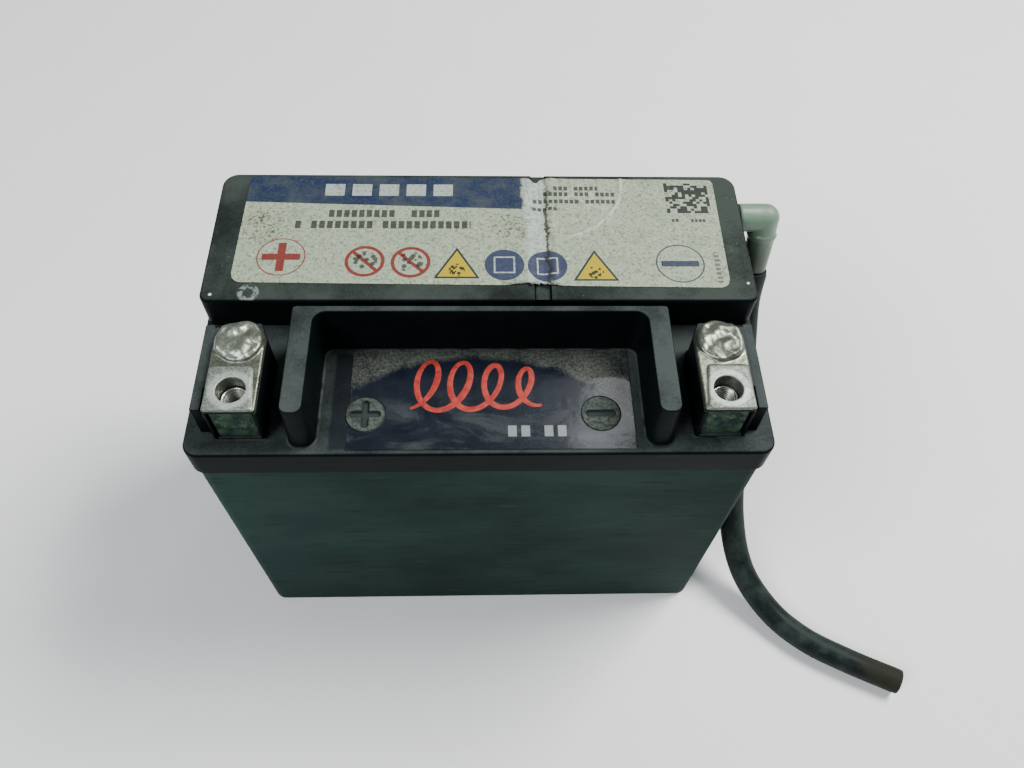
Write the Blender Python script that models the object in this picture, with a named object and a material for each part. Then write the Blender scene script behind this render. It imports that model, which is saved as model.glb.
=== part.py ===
"""A sealed 12 V lead-acid battery of motorcycle size, built as the separate pieces it is made of.

Origin at the centre of the base, +X to the right along the length, +Y to the back, +Z up, in metres.
The terminals and the moulded U-shaped rail are at the front of the lid. The raised vent cover is at the
back, with the vent elbow on its right end and the vent hose running from the elbow down to the ground.
"""

import math

import bmesh
import bpy
from mathutils import Matrix, Vector

MM = 0.001
FIT = 0.3 * MM  # the gap left between pieces that touch
SINK = 0.5 * MM  # how far a moulded feature runs into the body that carries it
ROUND_STEPS = 24  # sides of a small round piece

# Case and lid
LENGTH = 150 * MM
WIDTH = 87 * MM
CORNER_R = 4 * MM
CASE_TOP = 103.7 * MM
CASE_INSET = 0.7 * MM  # the case is this much inside the lid on each side, at its top
CASE_TAPER = 0.3 * MM  # and this much more at its bottom
CASE_FOOT_R = 2 * MM
CASE_FLOOR = 2.6 * MM
CASE_WALL = 2.4 * MM
PARTITION = 1.5 * MM
PARTITION_TOP = 99 * MM
LID_BOTTOM = CASE_TOP + FIT
LID_FLOOR = 113.7 * MM
LID_ROOF = 3 * MM
LID_WALL = 3.5 * MM
LID_EDGE_R = 1 * MM

# Cells
CELLS = 6
INNER_X = LENGTH / 2 - CASE_INSET - CASE_TAPER - CASE_WALL
INNER_Y = WIDTH / 2 - CASE_INSET - CASE_TAPER - CASE_WALL
CELL_PITCH = (2 * INNER_X + PARTITION) / CELLS
CELL_WIDTH = CELL_PITCH - PARTITION
POSITIVE_PLATES = 3
POSITIVE_PLATE = 2.2 * MM
NEGATIVE_PLATE = 1.6 * MM
SEPARATOR = 0.9 * MM
PLATE_Y = 37.5 * MM
PLATE_BOTTOM = 4 * MM
PLATE_TOP = 86 * MM
SEPARATOR_BOTTOM = 3.2 * MM
SEPARATOR_TOP = 87.5 * MM
STRAP_BOTTOM = 92 * MM
STRAP_TOP = 95.5 * MM
STRAP_Y = 18.8 * MM  # the middle of a strap, in front of the middle of the battery or behind it
STRAP_WIDTH = 11 * MM
STRAP_HALF_LENGTH = 10.4 * MM
LINK_LEG = 4 * MM
LINK_THICK = 3 * MM
LINK_WIDTH = 9 * MM

# Terminals, one on each side of the middle
TERMINAL_X = 60.5 * MM
PEDESTAL_HALF = 6.5 * MM
PEDESTAL_FRONT = -39 * MM
PEDESTAL_BACK = -12 * MM
PEDESTAL_TOP = 126.2 * MM
PEDESTAL_CHAMFER_X = 2 * MM
PEDESTAL_CHAMFER_Y = 5 * MM
GUARD_X = (68 * MM, 70.6 * MM)
GUARD_Y = (-37 * MM, -11.5 * MM)
GUARD_TOP = 125 * MM
WEB_X = (66.5 * MM, 68.5 * MM)  # the web that joins a guard wall to its pedestal
WEB_Y = (-30.5 * MM, -12.5 * MM)
WEB_TOP = 124.7 * MM
BOLT_Y = -33 * MM
BOLT_HOLE_R = 3.6 * MM
INSERT_R = BOLT_HOLE_R - FIT
INSERT_BORE_R = 2.5 * MM  # an M6 thread's core
INSERT_BOTTOM = 116.5 * MM
INSERT_TOP = 123.8 * MM
BODY_HALF = 5.2 * MM  # the part of the block that fills the pedestal's pocket
BODY_FRONT = -38.4 * MM
BODY_BACK = -27.4 * MM
BODY_BOTTOM = 114.9 * MM
TOP_PLATE_HALF = 6.4 * MM  # the part of the block that lies on the pedestal
TOP_PLATE_BOTTOM = PEDESTAL_TOP + FIT
TOP_PLATE_TOP = 127.6 * MM
TOP_PLATE_EDGE = 0.4 * MM
TOP_PLATE_FRONT_R = 0.6 * MM
PAD_TOP = 128 * MM
PAD_X = (-5 * MM, 6.2 * MM)  # from the block's middle, towards the battery's middle and away from it
PAD_Y = (-38.8 * MM, -26.2 * MM)
PAD_R = 0.8 * MM
POST_Y = -STRAP_Y
POST_R = 4.5 * MM
POST_BOTTOM = STRAP_TOP + FIT
DOME_R = 6.2 * MM
DOME_TOP = 129.3 * MM
SEAL_R = 6 * MM
SEAL_BOTTOM = 110.9 * MM
SEAL_TOP = 113.2 * MM

# U-shaped rail on the lid
RAIL_TOP = 130 * MM
RAIL_OUTER_X = 48 * MM
RAIL_INNER_X = 42.5 * MM
RAIL_BACK = -9.2 * MM
RAIL_FRONT = -11.1 * MM
RAIL_TIP = -40.7 * MM
RAIL_OUTER_R = 1 * MM
RAIL_INNER_R = 3.2 * MM
RAIL_DRAFT = math.radians(2.5)

# Vent cover and the valves under it
COVER_X = 74.2 * MM
COVER_FRONT = -3.8 * MM
COVER_BACK = 42.5 * MM
COVER_TOP = 125 * MM
COVER_WALL = 2 * MM
COVER_EDGE = 0.7 * MM
COVER_FRONT_R = 2.5 * MM
COVER_BACK_R = 4.5 * MM
GROOVE_X = 16.4 * MM
GROOVE_HALF = 2.2 * MM
GROOVE_DEPTH = 1 * MM
VALVE_Y = 16 * MM
CHIMNEY_R = 5 * MM
CHIMNEY_BORE_R = 3.5 * MM
CHIMNEY_TOP = 118.5 * MM
CAP_R = 6.2 * MM
CAP_BOTTOM = 114.3 * MM
CAP_TOP = 120.3 * MM

# Vent elbow, its seal, the flame arrestor and the hose
ELBOW_Y = 31 * MM
ELBOW_Z = 119.5 * MM
ELBOW_STUB_START = 68.5 * MM
ELBOW_SHOULDER = 74.9 * MM
ELBOW_STUB_R = 2.9 * MM
ELBOW_R = 4 * MM
ELBOW_CORNER_R = 4.2 * MM
ELBOW_BORE_R = 1.9 * MM
ELBOW_LEG_X = 83.3 * MM
ELBOW_LEG = 17.4 * MM
ELBOW_LEG_END_R = 3.5 * MM
ELBOW_RIDGE = (4.4 * MM, 4.9 * MM, 5.5 * MM, 6 * MM)  # where the ridge round the leg rises and falls
ELBOW_RIDGE_R = 4.7 * MM
ELBOW_TILT = math.radians(19)
ELBOW_HOLE_R = 4.6 * MM
PORT_SEAL_R = 4.3 * MM
PORT_SEAL_BORE_R = 3.2 * MM
PORT_SEAL_X = (72 * MM, 74.5 * MM)
ARRESTOR_X = (64 * MM, 67.5 * MM)
ARRESTOR_R = 4.1 * MM
ARRESTOR_Z = 118.6 * MM
HOSE_R = 4.25 * MM
HOSE_POINTS = 12

# Labels
LABEL_THICK = 0.2 * MM
LABEL_LIFT = 0.1 * MM
TOP_LABEL_CORNERS = [  # stuck on a little askew
    (-66.7 * MM, 2.2 * MM),
    (67.1 * MM, 0.4 * MM),
    (67.5 * MM, 40.4 * MM),
    (-66.2 * MM, 41.1 * MM),
]
TOP_LABEL_RADII = [3 * MM, 3 * MM, 1.5 * MM, 1.5 * MM]
FRONT_LABEL_X = (-34.2 * MM, 39.1 * MM)
FRONT_LABEL_Y = (-42.2 * MM, -12.2 * MM)
SIGN_DISCS = [(-29.9 * MM, -31.9 * MM), (30.7 * MM, -31.9 * MM)]
SIGN_DISC_R = 5 * MM
SIGN_DISC_TOP = 114.1 * MM

MATERIALS = {
    # name: (colour, roughness, metallic)
    "case_plastic": ((0.028, 0.048, 0.044, 1), 0.5, 0.0),
    "lid_plastic": ((0.016, 0.018, 0.017, 1), 0.42, 0.0),
    "cover_plastic": ((0.02, 0.022, 0.021, 1), 0.45, 0.0),
    "lead": ((0.45, 0.46, 0.47, 1), 0.42, 1.0),
    "tinned_brass": ((0.3, 0.3, 0.27, 1), 0.4, 0.9),
    "positive_paste": ((0.11, 0.045, 0.03, 1), 0.85, 0.0),
    "negative_paste": ((0.22, 0.23, 0.24, 1), 0.75, 0.2),
    "glass_mat": ((0.78, 0.78, 0.74, 1), 0.95, 0.0),
    "black_rubber": ((0.018, 0.017, 0.016, 1), 0.6, 0.0),
    "hose_rubber": ((0.015, 0.014, 0.014, 1), 0.5, 0.0),
    "pale_nylon": ((0.66, 0.72, 0.6, 1), 0.4, 0.0),
    "porous_disc": ((0.75, 0.74, 0.7, 1), 0.9, 0.0),
    "label_film": ((0.6, 0.63, 0.57, 1), 0.45, 0.0),
    "dark_film": ((0.012, 0.014, 0.035, 1), 0.25, 0.0),
}


def make_material(name):
    """The material of that name, made once from the table above."""
    if name in bpy.data.materials:
        return bpy.data.materials[name]
    colour, roughness, metallic = MATERIALS[name]
    material = bpy.data.materials.new(name)
    material.use_nodes = True
    shader = material.node_tree.nodes["Principled BSDF"]
    shader.inputs["Base Color"].default_value = colour
    shader.inputs["Roughness"].default_value = roughness
    shader.inputs["Metallic"].default_value = metallic
    material.diffuse_color = colour
    return material


def add_object(name, bm, material, origin=(0, 0, 0), smooth=False):
    """A named object from a bmesh made in world coordinates, with its origin at the given point."""
    bmesh.ops.remove_doubles(bm, verts=bm.verts, dist=1e-7)
    bmesh.ops.recalc_face_normals(bm, faces=bm.faces)
    bmesh.ops.translate(bm, verts=bm.verts, vec=-Vector(origin))
    mesh = bpy.data.meshes.new(name)
    bm.to_mesh(mesh)
    bm.free()
    mesh.materials.append(make_material(material))
    if smooth:
        mesh.shade_smooth()
        mesh.set_sharp_from_angle(angle=math.radians(35))
    built = bpy.data.objects.new(name, mesh)
    built.location = origin
    bpy.context.scene.collection.objects.link(built)
    return built


def combine(target, bm, operation, name):
    """Adds a Boolean modifier to target that joins or cuts it with the shape in bm."""
    tool = add_object(name, bm, "lid_plastic")
    tool.hide_render = True
    tool.display_type = "WIRE"
    modifier = target.modifiers.new(name, "BOOLEAN")
    modifier.object = tool
    modifier.operation = operation
    modifier.solver = "EXACT"


def rounded_outline(corners, radii, steps=4):
    """Points round a polygon whose corners, convex or hollow, become arcs of the given radii."""
    points = []
    for i, corner in enumerate(corners):
        here = Vector(corner)
        to_last = (Vector(corners[i - 1]) - here).normalized()
        to_next = (Vector(corners[(i + 1) % len(corners)]) - here).normalized()
        if radii[i] <= 0:
            points.append(here)
            continue
        half_angle = to_last.angle(to_next) / 2
        centre = here + (to_last + to_next).normalized() * radii[i] / math.sin(half_angle)
        reach = radii[i] / math.tan(half_angle)
        start = here + to_last * reach - centre
        turn = start.angle_signed(here + to_next * reach - centre)
        for step in range(steps + 1):
            spin = Matrix.Rotation(-turn * step / steps, 2)
            points.append(centre + spin @ start)
    return points


def rectangle(x0, x1, y0, y1, front_r=0.0, back_r=0.0, steps=4):
    """An outline with its own corner radii at the front and at the back."""
    corners = [(x0, y0), (x1, y0), (x1, y1), (x0, y1)]
    return rounded_outline(corners, [front_r, front_r, back_r, back_r], steps)


def loft(bm, sections):
    """A closed solid through outlines with the same number of points, given as (z, outline)."""
    rings = [[bm.verts.new((x, y, z)) for x, y in outline] for z, outline in sections]
    for lower, upper in zip(rings, rings[1:]):
        for i in range(len(lower)):
            j = (i + 1) % len(lower)
            bm.faces.new((lower[i], lower[j], upper[j], upper[i]))
    bm.faces.new(list(reversed(rings[0])))
    bm.faces.new(rings[-1])


def prism(bm, outline, z0, z1):
    loft(bm, [(z0, outline), (z1, outline)])


def circle(x, y, radius, steps=ROUND_STEPS):
    """Points round a circle, with a flat side across each axis."""
    angles = [math.tau * (i + 0.5) / steps for i in range(steps)]
    return [(x + radius * math.cos(a), y + radius * math.sin(a)) for a in angles]


def block_solid(bm, boxes):
    """One closed solid from boxes (x0, x1, y0, y1, z0, z1) that meet face to face or overlap."""
    cuts = [sorted({round(b[k], 9) for b in boxes for k in (2 * axis, 2 * axis + 1)}) for axis in range(3)]

    def filled(cell):
        if any(not 0 <= cell[axis] < len(cuts[axis]) - 1 for axis in range(3)):
            return False
        middle = [(cuts[axis][cell[axis]] + cuts[axis][cell[axis] + 1]) / 2 for axis in range(3)]
        return any(all(b[2 * a] < middle[a] < b[2 * a + 1] for a in range(3)) for b in boxes)

    corners = {}

    def corner(key):
        if key not in corners:
            corners[key] = bm.verts.new([cuts[axis][key[axis]] for axis in range(3)])
        return corners[key]

    shape = [range(len(c) - 1) for c in cuts]
    for cell in [(i, j, k) for i in shape[0] for j in shape[1] for k in shape[2]]:
        if not filled(cell):
            continue
        for axis in range(3):
            side_a, side_b = (axis + 1) % 3, (axis + 2) % 3
            for step in (0, 1):
                beyond = list(cell)
                beyond[axis] += 2 * step - 1
                if filled(beyond):
                    continue
                keys = []
                for da, db in ((0, 0), (1, 0), (1, 1), (0, 1)):
                    key = list(cell)
                    key[axis] += step
                    key[side_a] += da
                    key[side_b] += db
                    keys.append(tuple(key))
                bm.faces.new([corner(key) for key in keys])


def ring_points(bm, centre, direction, radius, steps):
    """Vertices round a circle square to the direction, starting on the side away from the ground."""
    side = Vector(direction).cross(Vector((0, 0, 1)))
    if side.length < 0.1:
        side = Vector((0, 1, 0))
    side.normalize()
    other = Vector(direction).cross(side).normalized()
    angles = [math.tau * i / steps for i in range(steps)]
    return [bm.verts.new(Vector(centre) + radius * (side * math.cos(a) + other * math.sin(a))) for a in angles]


def ring_solid(bm, profile, base, direction, steps=ROUND_STEPS):
    """A turned solid with a hole: profile is a closed loop of (radius, distance along the axis)."""
    axis = Vector(direction).normalized()
    rings = [ring_points(bm, Vector(base) + axis * h, axis, r, steps) for r, h in profile]
    for ring, following in zip(rings, rings[1:] + rings[:1]):
        for i in range(steps):
            j = (i + 1) % steps
            bm.faces.new((ring[i], ring[j], following[j], following[i]))


def round_solid(bm, profile, base, direction, steps=ROUND_STEPS):
    """A turned solid without a hole: profile is (radius, distance along the axis) from end to end."""
    axis = Vector(direction).normalized()
    rings = [ring_points(bm, Vector(base) + axis * h, axis, r, steps) for r, h in profile]
    for ring, following in zip(rings, rings[1:]):
        for i in range(steps):
            j = (i + 1) % steps
            bm.faces.new((ring[i], ring[j], following[j], following[i]))
    bm.faces.new(rings[0])
    bm.faces.new(rings[-1])


def turned_solid(bm, profile, x, y, steps=ROUND_STEPS):
    """An upright turned solid without a hole: profile is (radius, z) from the bottom to the top."""
    loft(bm, [(z, circle(x, y, r, steps)) for r, z in profile])


def cell_x(number):
    """The middle of a cell, the first one being the leftmost."""
    return (number - (CELLS - 1) / 2) * CELL_PITCH


def positive_side(number):
    """-1 where a cell's positive strap is at the front, which is every second cell from the first."""
    return -1 if number % 2 == 0 else 1


def build_case():
    def outline(inset):
        half_x = LENGTH / 2 - CASE_INSET - inset
        half_y = WIDTH / 2 - CASE_INSET - inset
        return rectangle(-half_x, half_x, -half_y, half_y, CORNER_R, CORNER_R, 5)

    bm = bmesh.new()
    foot = [
        (CASE_FOOT_R * (1 - math.cos(a)), CASE_TAPER + CASE_FOOT_R * (1 - math.sin(a)))
        for a in (0, math.pi / 6, math.pi / 3, math.pi / 2)
    ]
    sections = [(height, outline(inset)) for height, inset in foot]
    loft(bm, sections + [(CASE_TOP, outline(0))])
    case = add_object("case", bm, "case_plastic", smooth=True)
    hollow = [(-INNER_X, INNER_X, -INNER_Y, INNER_Y, PARTITION_TOP, CASE_TOP + SINK)]
    for number in range(CELLS):
        x0, x1 = cell_x(number) - CELL_WIDTH / 2, cell_x(number) + CELL_WIDTH / 2
        hollow.append((x0, x1, -INNER_Y, INNER_Y, CASE_FLOOR, PARTITION_TOP))
    cutter = bmesh.new()
    block_solid(cutter, hollow)
    combine(case, cutter, "DIFFERENCE", "case_hollow")


def plate_group(name, material, thick, places, number, side):
    """Plates side by side, joined at their lugs by a cast strap."""
    middle = cell_x(number)
    lug_y = sorted((side * (STRAP_Y - STRAP_WIDTH / 2), side * (STRAP_Y + STRAP_WIDTH / 2)))
    boxes = [(middle - STRAP_HALF_LENGTH, middle + STRAP_HALF_LENGTH, *lug_y, STRAP_BOTTOM, STRAP_TOP)]
    for place in places:
        x0, x1 = middle + place - thick / 2, middle + place + thick / 2
        boxes.append((x0, x1, -PLATE_Y, PLATE_Y, PLATE_BOTTOM, PLATE_TOP))
        boxes.append((x0, x1, *lug_y, PLATE_TOP, STRAP_BOTTOM))
    bm = bmesh.new()
    block_solid(bm, boxes)
    add_object(name, bm, material)


def build_cell(number):
    """A cell's two groups of plates and the folded glass mat that runs between them."""
    step = NEGATIVE_PLATE + POSITIVE_PLATE + 2 * SEPARATOR + 4 * FIT
    positive_places = [(i - (POSITIVE_PLATES - 1) / 2) * step for i in range(POSITIVE_PLATES)]
    negative_places = [(i - POSITIVE_PLATES / 2) * step for i in range(POSITIVE_PLATES + 1)]
    side = positive_side(number)
    label = number + 1
    plate_group(f"plates_positive_{label}", "positive_paste", POSITIVE_PLATE, positive_places, number, side)
    plate_group(f"plates_negative_{label}", "negative_paste", NEGATIVE_PLATE, negative_places, number, -side)
    layers = []
    for place in positive_places:
        offset = (POSITIVE_PLATE + SEPARATOR) / 2 + FIT
        layers += [cell_x(number) + place - offset, cell_x(number) + place + offset]
    end = PLATE_Y + FIT + SEPARATOR
    boxes = []
    for i, x in enumerate(layers):
        boxes.append((x - SEPARATOR / 2, x + SEPARATOR / 2, -end, end, SEPARATOR_BOTTOM, SEPARATOR_TOP))
        if i + 1 < len(layers):
            fold = (end - SEPARATOR, end) if i % 2 == 0 else (-end, SEPARATOR - end)
            span = (x + SEPARATOR / 2, layers[i + 1] - SEPARATOR / 2)
            boxes.append((*span, *fold, SEPARATOR_BOTTOM, SEPARATOR_TOP))
    bm = bmesh.new()
    block_solid(bm, boxes)
    add_object(f"separator_{label}", bm, "glass_mat")


def build_cell_link(number):
    """The lead bridge over a partition, from one cell's negative strap to the next cell's positive one."""
    wall_x = cell_x(number) + CELL_PITCH / 2
    near = PARTITION / 2 + FIT
    far = near + LINK_LEG
    y = positive_side(number + 1) * STRAP_Y
    depth = (y - LINK_WIDTH / 2, y + LINK_WIDTH / 2)
    bottom = STRAP_TOP + FIT
    shoulder = PARTITION_TOP + FIT
    top = shoulder + LINK_THICK
    bm = bmesh.new()
    block_solid(
        bm,
        [
            (wall_x - far, wall_x - near, *depth, bottom, top),
            (wall_x - near, wall_x + near, *depth, shoulder, top),
            (wall_x + near, wall_x + far, *depth, bottom, top),
        ],
    )
    add_object(f"cell_link_{number + 1}", bm, "lead")


def rail_outline(z):
    """The U-shaped rail in plan at a height; its sides lean outwards towards the foot."""
    grow = (RAIL_TOP - z) * math.tan(RAIL_DRAFT)
    outer, inner = RAIL_OUTER_X + grow, RAIL_INNER_X - grow
    back, front, tip = RAIL_BACK + grow, RAIL_FRONT - grow, RAIL_TIP - grow
    tip_r = 0.98 * (outer - inner) / 2
    corners = [
        (-outer, tip), (-inner, tip), (-inner, front), (inner, front),
        (inner, tip), (outer, tip), (outer, back), (-outer, back),
    ]
    radii = [tip_r, tip_r, RAIL_INNER_R, RAIL_INNER_R, tip_r, tip_r, RAIL_OUTER_R, RAIL_OUTER_R]
    return rounded_outline(corners, radii, 4)


def pedestal_outline(side):
    inner, outer = TERMINAL_X - PEDESTAL_HALF, TERMINAL_X + PEDESTAL_HALF
    corners = [
        (inner, PEDESTAL_FRONT),
        (outer, PEDESTAL_FRONT),
        (outer, PEDESTAL_BACK - PEDESTAL_CHAMFER_X),
        (outer - PEDESTAL_CHAMFER_X, PEDESTAL_BACK),
        (inner + PEDESTAL_CHAMFER_X, PEDESTAL_BACK),
        (inner, PEDESTAL_BACK - PEDESTAL_CHAMFER_Y),
    ]
    return [(side * x, y) for x, y in corners][::side]


def build_lid():
    half_x, half_y = LENGTH / 2, WIDTH / 2

    def outline(inset):
        x, y = half_x - inset, half_y - inset
        return rectangle(-x, x, -y, y, CORNER_R - inset, CORNER_R - inset, 5)

    edge = [
        (LID_FLOOR - LID_EDGE_R * (1 - math.sin(a)), outline(LID_EDGE_R * (1 - math.cos(a))))
        for a in (0, math.pi / 6, math.pi / 3, math.pi / 2)
    ]
    bm = bmesh.new()
    loft(bm, [(LID_BOTTOM, outline(0))] + edge)
    lid = add_object("lid", bm, "lid_plastic", smooth=True)

    foot = LID_FLOOR - SINK
    added = bmesh.new()
    loft(added, [(z, rail_outline(z)) for z in (foot, RAIL_TOP)])
    for side in (-1, 1):
        prism(added, pedestal_outline(side), foot, PEDESTAL_TOP)
        guard = sorted((side * GUARD_X[0], side * GUARD_X[1]))
        prism(added, rectangle(*guard, *GUARD_Y), foot, GUARD_TOP)
    for x, y in SIGN_DISCS:
        prism(added, circle(x, y, SIGN_DISC_R), foot, SIGN_DISC_TOP)
    for number in range(CELLS):
        prism(added, circle(cell_x(number), VALVE_Y, CHIMNEY_R), foot, CHIMNEY_TOP)
    combine(lid, added, "UNION", "lid_features")

    webs = bmesh.new()
    for side in (-1, 1):
        prism(webs, rectangle(*sorted((side * WEB_X[0], side * WEB_X[1])), *WEB_Y), foot, WEB_TOP)
    combine(lid, webs, "UNION", "guard_webs")

    cuts = bmesh.new()
    room_x, room_y = half_x - LID_WALL, half_y - LID_WALL
    room_top = LID_FLOOR - LID_ROOF
    prism(cuts, rectangle(-room_x, room_x, -room_y, room_y), LID_BOTTOM - SINK, room_top)
    combine(lid, cuts, "DIFFERENCE", "lid_room")

    holes = bmesh.new()
    for number in range(CELLS):
        prism(holes, circle(cell_x(number), VALVE_Y, CHIMNEY_BORE_R), room_top - SINK, CHIMNEY_TOP + SINK)
    for side in (-1, 1):
        x = side * TERMINAL_X
        post_hole = [(SEAL_R + FIT, room_top - SINK), (SEAL_R + FIT, SEAL_TOP + FIT)]
        post_hole += [(POST_R + FIT, SEAL_TOP + FIT), (POST_R + FIT, PEDESTAL_TOP + SINK)]
        turned_solid(holes, post_hole, x, POST_Y)
        pocket = rectangle(x - BODY_HALF - FIT, x + BODY_HALF + FIT, PEDESTAL_FRONT - SINK, BODY_BACK + FIT)
        prism(holes, pocket, BODY_BOTTOM - FIT, PEDESTAL_TOP + SINK)
    combine(lid, holes, "DIFFERENCE", "lid_holes")


def build_terminal(name, side):
    """The cast block, the threaded insert in its bolt hole, the post below its domed end and the post's seal."""
    x = side * TERMINAL_X

    def outline(inset):
        x0, x1 = x - TOP_PLATE_HALF + inset, x + TOP_PLATE_HALF - inset
        radius = TOP_PLATE_HALF - inset
        front = PEDESTAL_FRONT + inset
        corners = [(x0, front), (x1, front), (x1, POST_Y + radius), (x0, POST_Y + radius)]
        back_r = 0.98 * radius
        return rounded_outline(corners, [TOP_PLATE_FRONT_R, TOP_PLATE_FRONT_R, back_r, back_r], 6)

    bm = bmesh.new()
    plate = [(TOP_PLATE_BOTTOM, 0), (TOP_PLATE_TOP - TOP_PLATE_EDGE, 0), (TOP_PLATE_TOP, TOP_PLATE_EDGE)]
    loft(bm, [(z, outline(inset)) for z, inset in plate])
    block = add_object(f"terminal_block_{name}", bm, "lead", smooth=True)

    added = bmesh.new()
    body = rectangle(x - BODY_HALF, x + BODY_HALF, BODY_FRONT, BODY_BACK)
    prism(added, body, BODY_BOTTOM, TOP_PLATE_BOTTOM + SINK)
    pad = rectangle(*sorted(x + side * edge for edge in PAD_X), *PAD_Y, PAD_R, PAD_R)
    prism(added, pad, TOP_PLATE_TOP - SINK, PAD_TOP)
    dome_r = DOME_R - TOP_PLATE_EDGE
    shoulder = TOP_PLATE_TOP - SINK
    profile = [(dome_r, TOP_PLATE_BOTTOM + SINK), (dome_r, shoulder)]
    for angle in (0.3, 0.6, 0.9, 1.2):
        profile.append((dome_r * math.cos(angle), shoulder + (DOME_TOP - shoulder) * math.sin(angle)))
    turned_solid(added, profile, x, POST_Y)
    combine(block, added, "UNION", f"block_features_{name}")

    hole = bmesh.new()
    prism(hole, circle(x, BOLT_Y, BOLT_HOLE_R), INSERT_BOTTOM - FIT, PAD_TOP + SINK)
    combine(block, hole, "DIFFERENCE", f"bolt_hole_{name}")

    insert = bmesh.new()
    tall = INSERT_TOP - INSERT_BOTTOM
    profile = [(INSERT_BORE_R, 0), (INSERT_R, 0), (INSERT_R, tall), (INSERT_BORE_R, tall)]
    ring_solid(insert, profile, (x, BOLT_Y, INSERT_BOTTOM), (0, 0, 1))
    add_object(f"terminal_insert_{name}", insert, "tinned_brass", smooth=True)

    post = bmesh.new()
    turned_solid(post, [(POST_R, POST_BOTTOM), (POST_R, PEDESTAL_TOP)], x, POST_Y)
    add_object(f"terminal_post_{name}", post, "lead", smooth=True)

    seal = bmesh.new()
    tall = SEAL_TOP - SEAL_BOTTOM
    inner = POST_R + FIT
    ring_solid(seal, [(inner, 0), (SEAL_R, 0), (SEAL_R, tall), (inner, tall)], (x, POST_Y, SEAL_BOTTOM), (0, 0, 1))
    add_object(f"post_seal_{name}", seal, "black_rubber", smooth=True)


def build_vent_cover():
    bottom = LID_FLOOR + FIT

    def outline(inset):
        sides = (-COVER_X + inset, COVER_X - inset, COVER_FRONT + inset, COVER_BACK - inset)
        front_r = max(COVER_FRONT_R - inset, 0.8 * MM)
        return rectangle(*sides, front_r, COVER_BACK_R - inset, 5)

    bm = bmesh.new()
    loft(bm, [(bottom, outline(0)), (COVER_TOP - COVER_EDGE, outline(0)), (COVER_TOP, outline(COVER_EDGE))])
    cover = add_object("vent_cover", bm, "cover_plastic", smooth=True)

    room = bmesh.new()
    prism(room, outline(COVER_WALL), bottom - SINK, COVER_TOP - COVER_WALL)
    combine(cover, room, "DIFFERENCE", "cover_room")

    cuts = bmesh.new()
    x0, x1 = GROOVE_X - GROOVE_HALF, GROOVE_X + GROOVE_HALF
    floor = COVER_TOP - GROOVE_DEPTH
    block_solid(
        cuts,
        [
            (x0, x1, COVER_FRONT - SINK, COVER_BACK + SINK, floor, COVER_TOP + SINK),
            (x0, x1, COVER_FRONT - SINK, COVER_FRONT + GROOVE_DEPTH, bottom - SINK, floor),
        ],
    )
    port = [(ELBOW_HOLE_R, -COVER_WALL - SINK), (ELBOW_HOLE_R, SINK)]
    round_solid(cuts, port, (COVER_X, ELBOW_Y, ELBOW_Z), (1, 0, 0))
    combine(cover, cuts, "DIFFERENCE", "cover_groove_and_port")


def build_valve_cap(number):
    """A rubber cap over a cell's chimney; its origin is on the line that it lifts along."""
    x = cell_x(number)
    inner_r = CHIMNEY_R + FIT
    inner_top = CHIMNEY_TOP + FIT
    rounding = 0.8 * MM
    outer = [(CAP_R, CAP_BOTTOM), (CAP_R, CAP_TOP - rounding), (CAP_R - rounding, CAP_TOP)]
    inner = [(inner_r, inner_top), (inner_r, CAP_BOTTOM)]
    bm = bmesh.new()
    rings = [[bm.verts.new((*p, z)) for p in circle(x, VALVE_Y, r)] for r, z in inner + outer]
    for ring, following in zip(rings[1:], rings[2:]):
        for i in range(ROUND_STEPS):
            j = (i + 1) % ROUND_STEPS
            bm.faces.new((ring[i], ring[j], following[j], following[i]))
    for i in range(ROUND_STEPS):
        j = (i + 1) % ROUND_STEPS
        bm.faces.new((rings[0][i], rings[0][j], rings[1][j], rings[1][i]))
    bm.faces.new(rings[0])
    bm.faces.new(rings[-1])
    add_object(f"valve_cap_{number + 1}", bm, "black_rubber", (x, VALVE_Y, CAP_BOTTOM), smooth=True)


def elbow_leg_direction():
    """Down and a little forward, the way that the elbow's leg points."""
    return Vector((0, -math.sin(ELBOW_TILT), -math.cos(ELBOW_TILT)))


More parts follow.
